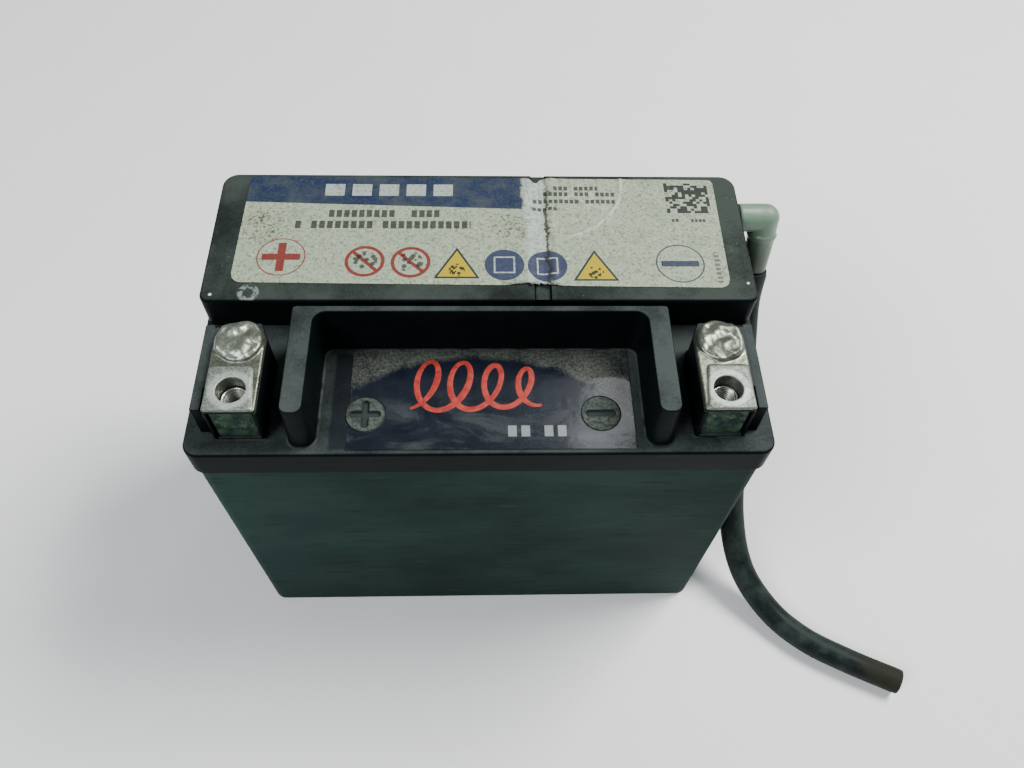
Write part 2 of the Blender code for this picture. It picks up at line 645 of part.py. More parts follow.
def build_vent_elbow():
    """The hollow elbow; its origin is on the line that it turns about in the cover's port."""
    out, down = Vector((1, 0, 0)), elbow_leg_direction()
    corner = Vector((ELBOW_LEG_X, ELBOW_Y, ELBOW_Z))
    stub_start, shoulder = ELBOW_STUB_START - ELBOW_LEG_X, ELBOW_SHOULDER - ELBOW_LEG_X
    bm = bmesh.new()
    stub = [(ELBOW_STUB_R, stub_start), (ELBOW_STUB_R, shoulder), (ELBOW_R, shoulder), (ELBOW_R, 0)]
    round_solid(bm, stub, corner, out)
    elbow = add_object("vent_elbow", bm, "pale_nylon", (COVER_X, ELBOW_Y, ELBOW_Z), smooth=True)

    ball = bmesh.new()
    angles = [math.radians(degrees) for degrees in range(-80, 81, 16)]
    profile = [(ELBOW_CORNER_R * math.cos(a), ELBOW_CORNER_R * math.sin(a)) for a in angles]
    round_solid(ball, profile, corner, out)
    combine(elbow, ball, "UNION", "elbow_corner")

    leg = bmesh.new()
    rise, crest_start, crest_end, fall = ELBOW_RIDGE
    profile = [(ELBOW_R, 0), (ELBOW_R, rise), (ELBOW_RIDGE_R, crest_start), (ELBOW_RIDGE_R, crest_end)]
    profile += [(ELBOW_R, fall), (ELBOW_LEG_END_R, ELBOW_LEG)]
    round_solid(leg, profile, corner, down)
    combine(elbow, leg, "UNION", "elbow_leg")

    bores = [("stub_bore", out, stub_start - SINK, 0), ("leg_bore", down, -ELBOW_BORE_R, ELBOW_LEG + SINK)]
    for name, direction, start, end in bores:
        bore = bmesh.new()
        round_solid(bore, [(ELBOW_BORE_R, start), (ELBOW_BORE_R, end)], corner, direction)
        combine(elbow, bore, "DIFFERENCE", name)


def build_port_pieces():
    """The rubber seal in the cover's port and the porous disc behind it."""
    long = PORT_SEAL_X[1] - PORT_SEAL_X[0]
    profile = [(PORT_SEAL_BORE_R, 0), (PORT_SEAL_R, 0), (PORT_SEAL_R, long), (PORT_SEAL_BORE_R, long)]
    seal = bmesh.new()
    ring_solid(seal, profile, (PORT_SEAL_X[0], ELBOW_Y, ELBOW_Z), (1, 0, 0))
    add_object("elbow_seal", seal, "black_rubber", smooth=True)

    disc = bmesh.new()
    round_solid(disc, [(ARRESTOR_R, x) for x in ARRESTOR_X], (0, ELBOW_Y, ARRESTOR_Z), (1, 0, 0))
    add_object("flame_arrestor", disc, "porous_disc", smooth=True)


def smooth_route(route, count):
    """Points spaced evenly along a Catmull-Rom curve through the route."""
    ends = [route[0] * 2 - route[1]] + route + [route[-1] * 2 - route[-2]]
    fine = []
    pieces = 12
    for a, b, c, d in zip(ends, ends[1:], ends[2:], ends[3:]):
        for step in range(pieces):
            t = step / pieces
            fine.append(
                (2 * b + (c - a) * t + (2 * a - 5 * b + 4 * c - d) * t**2 + (3 * b - a - 3 * c + d) * t**3) / 2
            )
    fine.append(route[-1])
    run = [0.0]
    for here, there in zip(fine, fine[1:]):
        run.append(run[-1] + (there - here).length)
    points = []
    for i in range(count):
        wanted = run[-1] * i / (count - 1)
        k = min(next(n for n, length in enumerate(run) if length >= wanted - 1e-12), len(fine) - 1)
        if k == 0:
            points.append(fine[0])
            continue
        share = (wanted - run[k - 1]) / (run[k] - run[k - 1])
        points.append(fine[k - 1].lerp(fine[k], share))
    return points


def build_vent_hose():
    """The hose hangs from the elbow's leg, runs down beside the case and lies forward on the ground."""
    down = elbow_leg_direction()
    start = Vector((ELBOW_LEG_X, ELBOW_Y, ELBOW_Z)) + down * (ELBOW_LEG + FIT)
    route = [
        start,
        start + down * (13 * MM),
        Vector((84.6, 10.5, 74)) * MM,
        Vector((85.6, -6, 50)) * MM,
        Vector((87.5, -23, 27)) * MM,
        Vector((92.5, -37.5, 12.5)) * MM,
        Vector((102, -50.5, 5.5)) * MM,
        Vector((113, -60.5, 4.3)) * MM,
        Vector((127, -68.3, 4.3)) * MM,
        Vector((142.7, -75.5, 4.3)) * MM,
    ]
    curve = bpy.data.curves.new("vent_hose", "CURVE")
    curve.dimensions = "3D"
    curve.bevel_depth = HOSE_R
    curve.bevel_resolution = 3
    curve.use_fill_caps = True
    spline = curve.splines.new("POLY")
    points = smooth_route(route, HOSE_POINTS)
    pivot = Vector((COVER_X, ELBOW_Y, ELBOW_Z))
    spline.points.add(len(points) - 1)
    for point, place in zip(spline.points, points):
        point.co = (*(place - pivot), 1)
    curve.materials.append(make_material("hose_rubber"))
    hose = bpy.data.objects.new("vent_hose", curve)
    hose.location = pivot
    bpy.context.scene.collection.objects.link(hose)


def build_labels():
    top = bmesh.new()
    outline = rounded_outline(TOP_LABEL_CORNERS, TOP_LABEL_RADII)
    prism(top, outline, COVER_TOP + LABEL_LIFT, COVER_TOP + LABEL_LIFT + LABEL_THICK)
    add_object("top_label", top, "label_film")

    front = bmesh.new()
    bottom = LID_FLOOR + LABEL_LIFT
    prism(front, rectangle(*FRONT_LABEL_X, *FRONT_LABEL_Y), bottom, bottom + LABEL_THICK)
    label = add_object("front_label", front, "dark_film")
    holes = bmesh.new()
    for x, y in SIGN_DISCS:
        prism(holes, circle(x, y, SIGN_DISC_R + FIT), bottom - SINK, bottom + SINK)
    combine(label, holes, "DIFFERENCE", "label_holes")


def main():
    for old in list(bpy.data.objects):
        bpy.data.objects.remove(old)
    build_case()
    for number in range(CELLS):
        build_cell(number)
        build_valve_cap(number)
    for number in range(CELLS - 1):
        build_cell_link(number)
    build_lid()
    build_terminal("positive", -1)
    build_terminal("negative", 1)
    build_vent_cover()
    build_port_pieces()
    build_vent_elbow()
    build_vent_hose()
    build_labels()


main()
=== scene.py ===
"""The looks of a used sealed battery of motorcycle size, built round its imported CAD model.

Pieces are modelled in millimetres where the CAD model has them, and make_piece turns them into metres.
"""

import math

import bmesh
import bpy
from mathutils import Matrix, Vector, noise


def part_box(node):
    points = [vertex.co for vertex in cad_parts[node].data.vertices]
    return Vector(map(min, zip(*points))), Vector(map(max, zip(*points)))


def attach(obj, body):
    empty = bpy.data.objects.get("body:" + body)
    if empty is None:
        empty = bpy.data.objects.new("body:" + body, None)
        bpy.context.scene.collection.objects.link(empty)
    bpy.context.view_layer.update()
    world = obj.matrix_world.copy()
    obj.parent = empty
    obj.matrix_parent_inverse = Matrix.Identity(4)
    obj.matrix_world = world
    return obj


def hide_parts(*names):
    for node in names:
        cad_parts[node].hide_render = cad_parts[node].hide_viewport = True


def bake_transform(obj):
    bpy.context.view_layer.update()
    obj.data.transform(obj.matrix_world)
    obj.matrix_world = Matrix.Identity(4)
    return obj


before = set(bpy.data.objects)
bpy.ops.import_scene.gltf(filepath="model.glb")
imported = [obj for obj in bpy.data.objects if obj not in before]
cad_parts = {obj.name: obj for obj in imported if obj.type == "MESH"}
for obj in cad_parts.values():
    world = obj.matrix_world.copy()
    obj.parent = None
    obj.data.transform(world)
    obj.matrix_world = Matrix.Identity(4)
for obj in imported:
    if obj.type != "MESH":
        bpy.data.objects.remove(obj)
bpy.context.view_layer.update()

MM = 0.001
UP = (0, 0, 1)
OUT = (1, 0, 0)  # along the elbow's stub
JOIN, CUT = "UNION", "DIFFERENCE"


def box_mm(node):
    """A node's lowest and highest corners in millimetres."""
    low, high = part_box(node)
    return Vector(low) / MM, Vector(high) / MM


CASE_HIGH = box_mm("case")[1]
LID_LOW, LID_HIGH = box_mm("lid")
COVER_LOW, COVER_HIGH = box_mm("vent_cover")
FILM_LOW, FILM_HIGH = box_mm("front_label")
HOSE_HIGH = box_mm("vent_hose")[1]

SHELF = FILM_LOW.z - 0.1  # the flat top of the lid
FIT = 0.3
CORNER_R = 4
CELLS = 6
CELL_PITCH = 24.2
VALVE_Y = 16
CHIMNEY_TOP = 118.5
TERMINAL_X = 60.5
PEDESTAL_TOP = 126.2
PEDESTAL_FRONT = -39
GUARD_TOP = 125
PLATE_TOP = 127.6
PAD_TOP = 128.05
PAD_BACK = -26.2
BOLT_Y = -33
BOLT_HOLE_R = 3.6
INSERT_TOP = 123.8
THREAD_CORE_R = 2.5
POST_Y = -18.8
SIGN_PLUS = (-29.9, -31.9)
SIGN_MINUS = (30.7, -31.9)
SIGN_R = 5
SIGN_RISE = 0.4
GROOVE_X = 16.4
ELBOW_Y = 31
ELBOW_Z = 119.5
ELBOW_R = 4.1
ELBOW_BORE_R = 1.9
ELBOW_LEG_X = 83.3
ELBOW_LEG = 17.4
ELBOW_TILT = math.radians(19)
HOSE_R = 4.25
HOSE_BORE_R = 2.6


# Shapes. Each function that makes one gives a new bmesh.


def clamp(value):
    return max(0, min(1, value))


def bell(distance, width, power=2):
    """1 in the middle of a bump, falling to nothing a few widths away."""
    return math.exp(-((distance / width) ** power))


def angles_round(steps):
    return [math.tau * i / steps for i in range(steps)]


def offset_corners(corners, out):
    """The corners of a polygon whose sides have all moved out by the same distance."""
    moved = []
    for i, corner in enumerate(corners):
        here = Vector(corner)
        before = (here - Vector(corners[i - 1])).normalized()
        after = (Vector(corners[(i + 1) % len(corners)]) - here).normalized()
        normal_before = Vector((before.y, -before.x))
        normal_after = Vector((after.y, -after.x))
        moved.append(here + (normal_before + normal_after) * out / (1 + normal_before.dot(normal_after)))
    return moved


def rounded_outline(corners, radii, out=0.0, steps=6):
    """A polygon, counter-clockwise, moved out on all sides, with its corners rounded to the given radii."""
    least_radius = 0.02
    moved = offset_corners(corners, out)
    points = []
    for i, here in enumerate(moved):
        to_last = (moved[i - 1] - here).normalized()
        to_next = (moved[(i + 1) % len(moved)] - here).normalized()
        convex = -to_last.x * to_next.y + to_last.y * to_next.x > 0
        radius = max(least_radius, radii[i] + out if convex else radii[i] - out)
        half_angle = to_last.angle(to_next) / 2
        centre = here + (to_last + to_next).normalized() * radius / math.sin(half_angle)
        reach = radius / math.tan(half_angle)
        start = here + to_last * reach - centre
        turn = start.angle_signed(here + to_next * reach - centre)
        for step in range(steps + 1):
            points.append(centre + Matrix.Rotation(-turn * step / steps, 2) @ start)
    return points


def rectangle(x0, x1, y0, y1):
    return [(x0, y0), (x1, y0), (x1, y1), (x0, y1)]


def mirrored(corners, side):
    """The same outline on the left when side is -1, still counter-clockwise."""
    return [(side * x, y) for x, y in corners][::side]


def shell(rings, wrap=False):
    """A closed body through rings with the same number of points, capped or joined end to end."""
    bm = bmesh.new()
    rings = [[bm.verts.new(point) for point in ring] for ring in rings]
    if wrap:
        rings.append(rings[0])
    for ring, following in zip(rings, rings[1:]):
        for i in range(len(ring)):
            j = (i + 1) % len(ring)
            bm.faces.new((ring[i], ring[j], following[j], following[i]))
    if not wrap:
        bm.faces.new(list(reversed(rings[0])))
        bm.faces.new(rings[-1])
    bmesh.ops.recalc_face_normals(bm, faces=bm.faces)
    return bm


def loft(sections):
    """A closed solid through level outlines with the same number of points, given as (z, outline)."""
    return shell([[(x, y, z) for x, y in outline] for z, outline in sections])


def block(x0, x1, y0, y1, z0, z1):
    return loft([(z, rectangle(x0, x1, y0, y1)) for z in (z0, z1)])


def turned(profile, base, direction, steps=48):
    """A turned solid without a hole: profile is (radius, distance along the axis)."""
    axis = Vector(direction).normalized()
    side = axis.orthogonal().normalized()
    other = axis.cross(side)
    spokes = [side * math.cos(a) + other * math.sin(a) for a in angles_round(steps)]
    rings = [(radius, Vector(base) + axis * along) for radius, along in profile]
    return shell([[centre + radius * spoke for spoke in spokes] for radius, centre in rings])


def rod(x, y, radius, z0, z1, steps=48):
    return turned([(radius, z0), (radius, z1)], (x, y, 0), UP, steps)


def rounded_edge(top, edge, outline):
    """The sections of a rounded top edge; outline(inset) gives the outline that far in."""
    angles = [math.pi / 2 * i / 6 for i in range(7)]
    return [(top - edge * (1 - math.sin(a)), outline(edge * (1 - math.cos(a)))) for a in angles]


def standing(corners, radii, top, edge, fillet, draft=0.0, steps=6):
    """An upright solid on the lid, with a rounded top edge, a flared foot and leaning sides."""

    def outline(z, out):
        return rounded_outline(corners, radii, out + (top - z) * math.tan(draft), steps)

    sections = [(SHELF - 0.6, outline(SHELF, fillet))]
    for angle in (0.3, 0.65, 1.0, 1.3, math.pi / 2):
        z = SHELF + fillet * (1 - math.cos(angle))
        sections.append((z, outline(z, fillet * (1 - math.sin(angle)))))
    for angle in (0, 0.4, 0.8, 1.2, math.pi / 2):
        z = top - edge * (1 - math.sin(angle))
        sections.append((z, outline(z, -edge * (1 - math.cos(angle)))))
    return loft(sections)


def sheet(columns, rows, top, thick):
    """A thin closed sheet over a grid: top(u, v) is its upper side, u and v from 0 to 1."""
    bm = bmesh.new()
    upper, lower = [], []
    for j in range(rows + 1):
        places = [top(i / columns, j / rows) for i in range(columns + 1)]
        upper.append([bm.verts.new(p) for p in places])
        lower.append([bm.verts.new(p - Vector((0, 0, thick))) for p in places])
    for j in range(rows):
        for i in range(columns):
            bm.faces.new((upper[j][i], upper[j][i + 1], upper[j + 1][i + 1], upper[j + 1][i]))
            bm.faces.new((lower[j][i], lower[j + 1][i], lower[j + 1][i + 1], lower[j][i + 1]))
    for j, step in ((0, 1), (rows, -1)):
        for i in range(columns):
            side = (upper[j][i], lower[j][i], lower[j][i + 1], upper[j][i + 1])
            bm.faces.new(side[::step])
    for i, step in ((0, -1), (columns, 1)):
        for j in range(rows):
            side = (upper[j][i], lower[j][i], lower[j + 1][i], upper[j + 1][i])
            bm.faces.new(side[::step])
    return bm


def placed(name, data):
    """A new object in the scene."""
    made = bpy.data.objects.new(name, data)
    bpy.context.scene.collection.objects.link(made)
    return made


def mesh_from(name, bm):
    mesh = bpy.data.meshes.new(name)
    bm.to_mesh(mesh)
    bm.free()
    return mesh


def temporary(bm):
    bmesh.ops.recalc_face_normals(bm, faces=bm.faces)
    return placed("temporary", mesh_from("temporary", bm))


def evaluated(made, others=()):
    """The mesh that an object's modifiers leave, as a bmesh; the objects are thrown away."""
    made.data.update()
    bm = bmesh.new()
    bm.from_mesh(made.evaluated_get(bpy.context.evaluated_depsgraph_get()).to_mesh())
    for old in [made, *others]:
        bpy.data.objects.remove(old)
    return bm


def combined(base, *operations):
    """What is left of base after shapes are joined to it or cut from it, one after another."""
    target = temporary(base)
    tools = []
    for operation, bm in operations:
        tools.append(temporary(bm))
        modifier = target.modifiers.new(operation, "BOOLEAN")
        modifier.object = tools[-1]
        modifier.operation = operation
        modifier.solver = "EXACT"
    return evaluated(target, tools)


def remeshed(bm, voxel, smoothing):
    """The same shape in small even faces, with its corners softened."""
    target = temporary(bm)
    modifier = target.modifiers.new("remesh", "REMESH")
    modifier.mode = "VOXEL"
    modifier.voxel_size = voxel
    modifier = target.modifiers.new("smooth", "SMOOTH")
    modifier.iterations = smoothing
    modifier.factor = 0.5
    return evaluated(target)


def make_piece(name, bm, material, node=None, body="battery", sharp=40, weighted=True):
    """A smooth-shaded piece that rides on a body and stands for a node, from a bmesh in millimetres."""
    bmesh.ops.scale(bm, vec=(MM, MM, MM), verts=bm.verts)
    mesh = mesh_from(name, bm)
    mesh.materials.append(material)
    mesh.shade_smooth()
    mesh.set_sharp_from_angle(angle=math.radians(sharp))
    piece = placed(name, mesh)
    if weighted:
        modifier = piece.modifiers.new("flat_faces_stay_flat", "WEIGHTED_NORMAL")
        modifier.keep_sharp = True
    if body:
        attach(piece, body)
    if node:
        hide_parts(node)
    return piece


# Shader nodes


class Surface:
    """A material being made, with short ways of adding shader nodes that work in millimetres."""

    def __init__(self, name, **fixed):
        self.material = bpy.data.materials.new(name)
        self.material.use_nodes = True
        self.tree = self.material.node_tree
        self.shader = self.tree.nodes["Principled BSDF"]
        for socket, value in fixed.items():
            self.shader.inputs[socket.replace("_", " ")].default_value = value
        coordinates = self.node("TexCoord").outputs["Object"]
        self.place = self.vector("SCALE", coordinates, scale=1 / MM)
        separate = self.node("SeparateXYZ")
        self.link(self.place, separate.inputs[0])
        self.x, self.y, self.z = separate.outputs
        self.base = None

    def node(self, kind):
        return self.tree.nodes.new("ShaderNode" + kind)

    def link(self, value, socket):
        """Joins an output to a socket, or sets the socket to a plain value."""
        if isinstance(value, bpy.types.NodeSocket):
            self.tree.links.new(value, socket)
        else:
            socket.default_value = value

    def give(self, **sockets):
        for socket, value in sockets.items():
            self.link(value, self.shader.inputs[socket.replace("_", " ")])

    def coat(self, mask, colour):
        """Paints over what is there where the mask is 1."""
        self.base = self.mix(mask, self.base, colour)

    def finish(self, **sockets):
        """The finished material, with its colour and the other sockets that vary joined to the shader."""
        self.give(Base_Color=self.base, **sockets)
        return self.material

    def math(self, operation, *values, clamp=False):
        node = self.node("Math")
        node.operation = operation
        node.use_clamp = clamp
        for value, socket in zip(values, node.inputs):
            self.link(value, socket)
        return node.outputs[0]

    def vector(self, operation, a, b=None, scale=None):
        node = self.node("VectorMath")
        node.operation = operation
        self.link(a, node.inputs[0])
        if b is not None:
            self.link(b, node.inputs[1])
        if scale is not None:
            node.inputs["Scale"].default_value = scale
        return node.outputs["Value" if operation in ("DOT_PRODUCT", "DISTANCE", "LENGTH") else "Vector"]

    def add(self, *values):
        total = values[0]
        for value in values[1:]:
            total = self.math("ADD", total, value)
        return total

    def times(self, *values):
        total = values[0]
        for value in values[1:]:
            total = self.math("MULTIPLY", total, value)
        return total

    def either(self, *values):
        total = values[0]
        for value in values[1:]:
            total = self.math("MAXIMUM", total, value)
        return total

    def without(self, mask, hole):
        """Where the mask is and the hole isn't."""
        return self.math("SUBTRACT", mask, hole, clamp=True)

    def fade(self, value, start, end, low=0.0, high=1.0):
        """Turns smoothly from low to high while the value goes from start to end."""
        node = self.node("MapRange")
        node.interpolation_type = "SMOOTHSTEP"
        self.link(value, node.inputs[0])
        for number, socket in zip((start, end, low, high), node.inputs[1:5]):
            socket.default_value = number
        return node.outputs[0]

    def noise(self, size, detail=4, rough=0.55, stretch=(1, 1, 1), shift=0.0, twist=0.0):
        """Noise from 0 to 1 whose features are about size millimetres across."""
        node = self.node("TexNoise")
        place = self.place
        if stretch != (1, 1, 1):
            place = self.vector("DIVIDE", place, stretch)
        if shift:
            place = self.vector("ADD", place, (shift, shift, shift))
        self.link(place, node.inputs["Vector"])
        node.inputs["Scale"].default_value = 1 / size
        node.inputs["Detail"].default_value = detail
        node.inputs["Roughness"].default_value = rough
        node.inputs["Distortion"].default_value = twist
        return node.outputs["Fac"]

    def cells(self, size, kind="F1", stretch=(1, 1, 1)):
        node = self.node("TexVoronoi")
        node.feature = kind
        self.link(self.vector("DIVIDE", self.place, stretch), node.inputs["Vector"])
        node.inputs["Scale"].default_value = 1 / size
        return node.outputs["Distance"]

    def mix(self, factor, a, b):
        """Colour a where the factor is 0 and colour b where it is 1."""
        node = self.node("Mix")
        node.data_type = "RGBA"
        self.link(factor, node.inputs[0])
        for value, socket in ((a, node.inputs[6]), (b, node.inputs[7])):
            self.link(value if isinstance(value, bpy.types.NodeSocket) else (*value, 1), socket)
        return node.outputs[2]

    def bump(self, height, depth, under=None):
        """A normal for a height from 0 to 1 that stands for depth millimetres."""
        node = self.node("Bump")
        node.inputs["Distance"].default_value = depth * MM
        self.link(height, node.inputs["Height"])
        if under is not None:
            self.link(under, node.inputs["Normal"])
        return node.outputs[0]

    def facing_up(self):
        """1 on a level face, 0 on an upright one."""
        node = self.node("NewGeometry")
        separate = self.node("SeparateXYZ")
        self.link(node.outputs["Normal"], separate.inputs[0])
        return self.math("MAXIMUM", separate.outputs[2], 0.0)

    def rectangle(self, x0, x1, y0, y1, soft=0.1):
        sides = [self.fade(self.x, x0 - soft, x0 + soft), self.fade(self.x, x1 + soft, x1 - soft)]
        sides += [self.fade(self.y, y0 - soft, y0 + soft), self.fade(self.y, y1 + soft, y1 - soft)]
        return self.times(*sides)

    def away(self, x, y):
        """How far a point is from an upright line."""
        level = self.vector("MULTIPLY", self.place, (1, 1, 0))
        return self.vector("DISTANCE", level, (x, y, 0))

    def disc(self, x, y, radius, soft=0.08):
        return self.fade(self.away(x, y), radius + soft, radius - soft)

    def ring(self, x, y, radius, width, soft=0.08):
        outer, inner = (self.disc(x, y, radius + out, soft) for out in (width / 2, -width / 2))
        return self.without(outer, inner)

    def polygon(self, x, y, reach, sides, turn, soft=0.08):
        """A regular polygon whose sides are reach away from its middle."""
        furthest = None
        for i in range(sides):
            angle = turn + math.tau * i / sides
            toward = (math.cos(angle), math.sin(angle), 0)
            along = self.vector("DOT_PRODUCT", self.place, toward)
            along = self.math("SUBTRACT", along, x * toward[0] + y * toward[1])
            furthest = along if furthest is None else self.math("MAXIMUM", furthest, along)
        return self.fade(furthest, reach + soft, reach - soft)

    def greeked(self, x0, x1, y0, y1, pitch, gaps=0.15):
        """A row of plain blocks that stands for print; it spells nothing."""
        node = self.node("TexWhiteNoise")
        node.noise_dimensions = "1D"
        column = self.math("DIVIDE", self.math("SUBTRACT", self.x, x0), pitch)
        self.link(self.add(self.math("FLOOR", column), y0), node.inputs["W"])
        there = self.math("GREATER_THAN", node.outputs["Value"], gaps)
        across = self.math("COMPARE", self.math("FRACT", column), 0.5, 0.36)
        return self.times(self.rectangle(x0, x1, y0, y1, 0.05), there, across)


def moulded_plastic(name, colour, dust, roughness):
    """Black moulding with a fine grain, faint rubbing, and dust on what faces up; the dust also stands for
    a painted sheen on level faces and is heavier to the right as a painted key-light highlight.
    """
    # A brighter gloss would show the pale floor in the upright faces
    s = Surface(name, IOR=1.5, Specular_IOR_Level=0.024)
    cloud = s.noise(17, 6, 0.62)
    fine = s.noise(0.55, 3, 0.6)
    streaks = s.noise(1.2, 4, 0.65, stretch=(9, 1, 1), shift=31)
    up = s.fade(s.facing_up(), 0.7, 0.98)
    uneven = s.fade(s.add(cloud, s.times(fine, 0.3)), 0.42, 0.85, 0.25, 1.0)
    # dust on level faces, partly real dust and partly a painted sheen; raised towards the right as a
    # painted highlight where the key light falls
    dust_and_sheen = s.times(up, uneven, s.fade(s.x, 30, 75, 1.0, 1.35))
    specks = s.times(s.fade(s.cells(2.3), 0.09, 0.04), s.fade(s.noise(9, 2), 0.45, 0.6))
    specks = s.times(specks, s.add(s.times(up, 0.8), 0.2))
    s.base = s.mix(s.fade(cloud, 0.3, 0.7, 0.0, 0.6), colour, tuple(c * 1.7 for c in colour))
    s.coat(dust_and_sheen, dust)
    s.coat(s.times(s.fade(streaks, 0.6, 0.75), 0.3), tuple(c * 3 for c in colour))
    s.coat(s.times(specks, 0.4), (0.22, 0.23, 0.19))
    rough = s.add(roughness, s.times(s.add(cloud, streaks, -1.0), 0.22), s.times(dust_and_sheen, 0.3))
    s.give(Roughness=rough, Normal=s.bump(s.add(s.times(fine, 0.5), streaks), 0.018))
    return s


def lid_plastic():
    """The lid's plastic, with paler sign discs whose slots are painted pale to lift their shade, dusty feet
    with a painted highlight on their fillets, and a painted reflection of the rail's arm as a dark strip
    beside the film.
    """
    s = moulded_plastic("lid_plastic", (0.0026, 0.0044, 0.005), (0.05, 0.062, 0.06), 0.36)
    # painted reflection: the dark band that the rail's left arm throws on the glossy shelf beside the film
    arm_reflection = s.times(s.rectangle(-38.6, -34.3, -42, -13, 0.5), s.fade(s.z, SHELF + 0.3, SHELF + 0.1))
    s.coat(s.times(arm_reflection, 0.75), (0.008, 0.01, 0.014))
    mottle = s.noise(0.9, 4, 0.65)
    # paler band on the fillets at the feet of the rail, pedestals and walls: partly dust, partly a painted
    # highlight along the fillets
    foot = s.times(s.fade(s.z, SHELF + 0.03, SHELF + 0.15), s.fade(s.z, SHELF + 0.75, SHELF + 0.4))
    s.coat(s.times(foot, s.fade(s.noise(5, 4, shift=47), 0.35, 0.6, 0.2, 0.8)), (0.055, 0.066, 0.062))
    for x, y in (SIGN_PLUS, SIGN_MINUS):
        top = s.times(s.disc(x, y, SIGN_R), s.fade(s.z, SHELF + 0.1, SHELF + 0.35))
        s.coat(top, s.mix(s.fade(mottle, 0.35, 0.65), (0.03, 0.038, 0.033), (0.075, 0.09, 0.078)))
        # the sunk plus and minus are painted paler than the black moulding: partly dust, and partly painted
        # light lifting the shade in the slots
        sunk = s.times(s.disc(x, y, SIGN_R - 0.3), s.fade(s.z, SHELF + 0.1, SHELF - 0.1))
        s.coat(sunk, (0.03, 0.038, 0.036))
    return s.finish()


def cover_plastic():
    """The vent cover's plastic, with a pale smear and two specks of paint near its front corners."""
    s = moulded_plastic("cover_plastic", (0.003, 0.0046, 0.005), (0.042, 0.053, 0.046), 0.4)
    patchy = s.noise(1.6, 5, 0.65, shift=19)
    on_top = s.fade(s.z, COVER_HIGH.z - 0.4, COVER_HIGH.z - 0.1)
    smear = s.times(s.ring(-61.4, -1.2, 2.1, 1.3, 0.3), s.fade(patchy, 0.4, 0.52), on_top)
    specks = s.either(s.disc(-71.2, -1.8, 0.45), s.disc(72, 2.1, 0.4))
    s.coat(s.times(smear, 0.7), (0.24, 0.28, 0.27))
    s.coat(s.times(specks, 0.9), (0.6, 0.62, 0.6))
    return s.finish()


def case_plastic():
    """Dull dark green moulding with level rubbing marks, with painted shade darkening it towards the bottom
    and painted light brightening its left end.
    """
    s = Surface("case_plastic", IOR=1.48, Specular_IOR_Level=0.04)
    cloud = s.noise(38, 4, 0.55, stretch=(1.3, 1.3, 0.8))
    level = s.noise(1.7, 5, 0.62, stretch=(12, 12, 1), shift=7)
    blotch = s.noise(8, 6, 0.7, stretch=(2.5, 2.5, 1), shift=17)
    fine = s.noise(0.45, 2, 0.6)
    s.base = s.mix(s.fade(cloud, 0.3, 0.72), (0.005, 0.018, 0.0155), (0.016, 0.04, 0.034))
    # painted shade: darker towards the bottom
    s.coat(s.fade(s.z, 70, 0, 0, 0.3), (0.003, 0.011, 0.01))
    # painted light: paler towards the left end
    s.coat(s.fade(s.x, -30, -72, 0, 0.4), (0.024, 0.052, 0.046))
    dark = s.times(s.fade(level, 0.5, 0.7), s.fade(blotch, 0.44, 0.66))
    pale = s.times(s.fade(level, 0.45, 0.33), s.fade(blotch, 0.54, 0.4))
    s.coat(s.times(dark, 0.85), (0.002, 0.006, 0.0055))
    s.coat(s.times(pale, 0.4), (0.03, 0.052, 0.045))
    chips = s.times(s.fade(s.cells(6.5), 0.04, 0.015), s.fade(blotch, 0.45, 0.55))
    s.coat(s.times(chips, 0.6), (0.07, 0.095, 0.08))
    rough = s.add(0.46, s.times(cloud, 0.14), s.times(level, 0.12))
    return s.finish(
        Roughness=rough,
        Normal=s.bump(s.add(s.times(fine, 0.4), level), 0.025),
    )


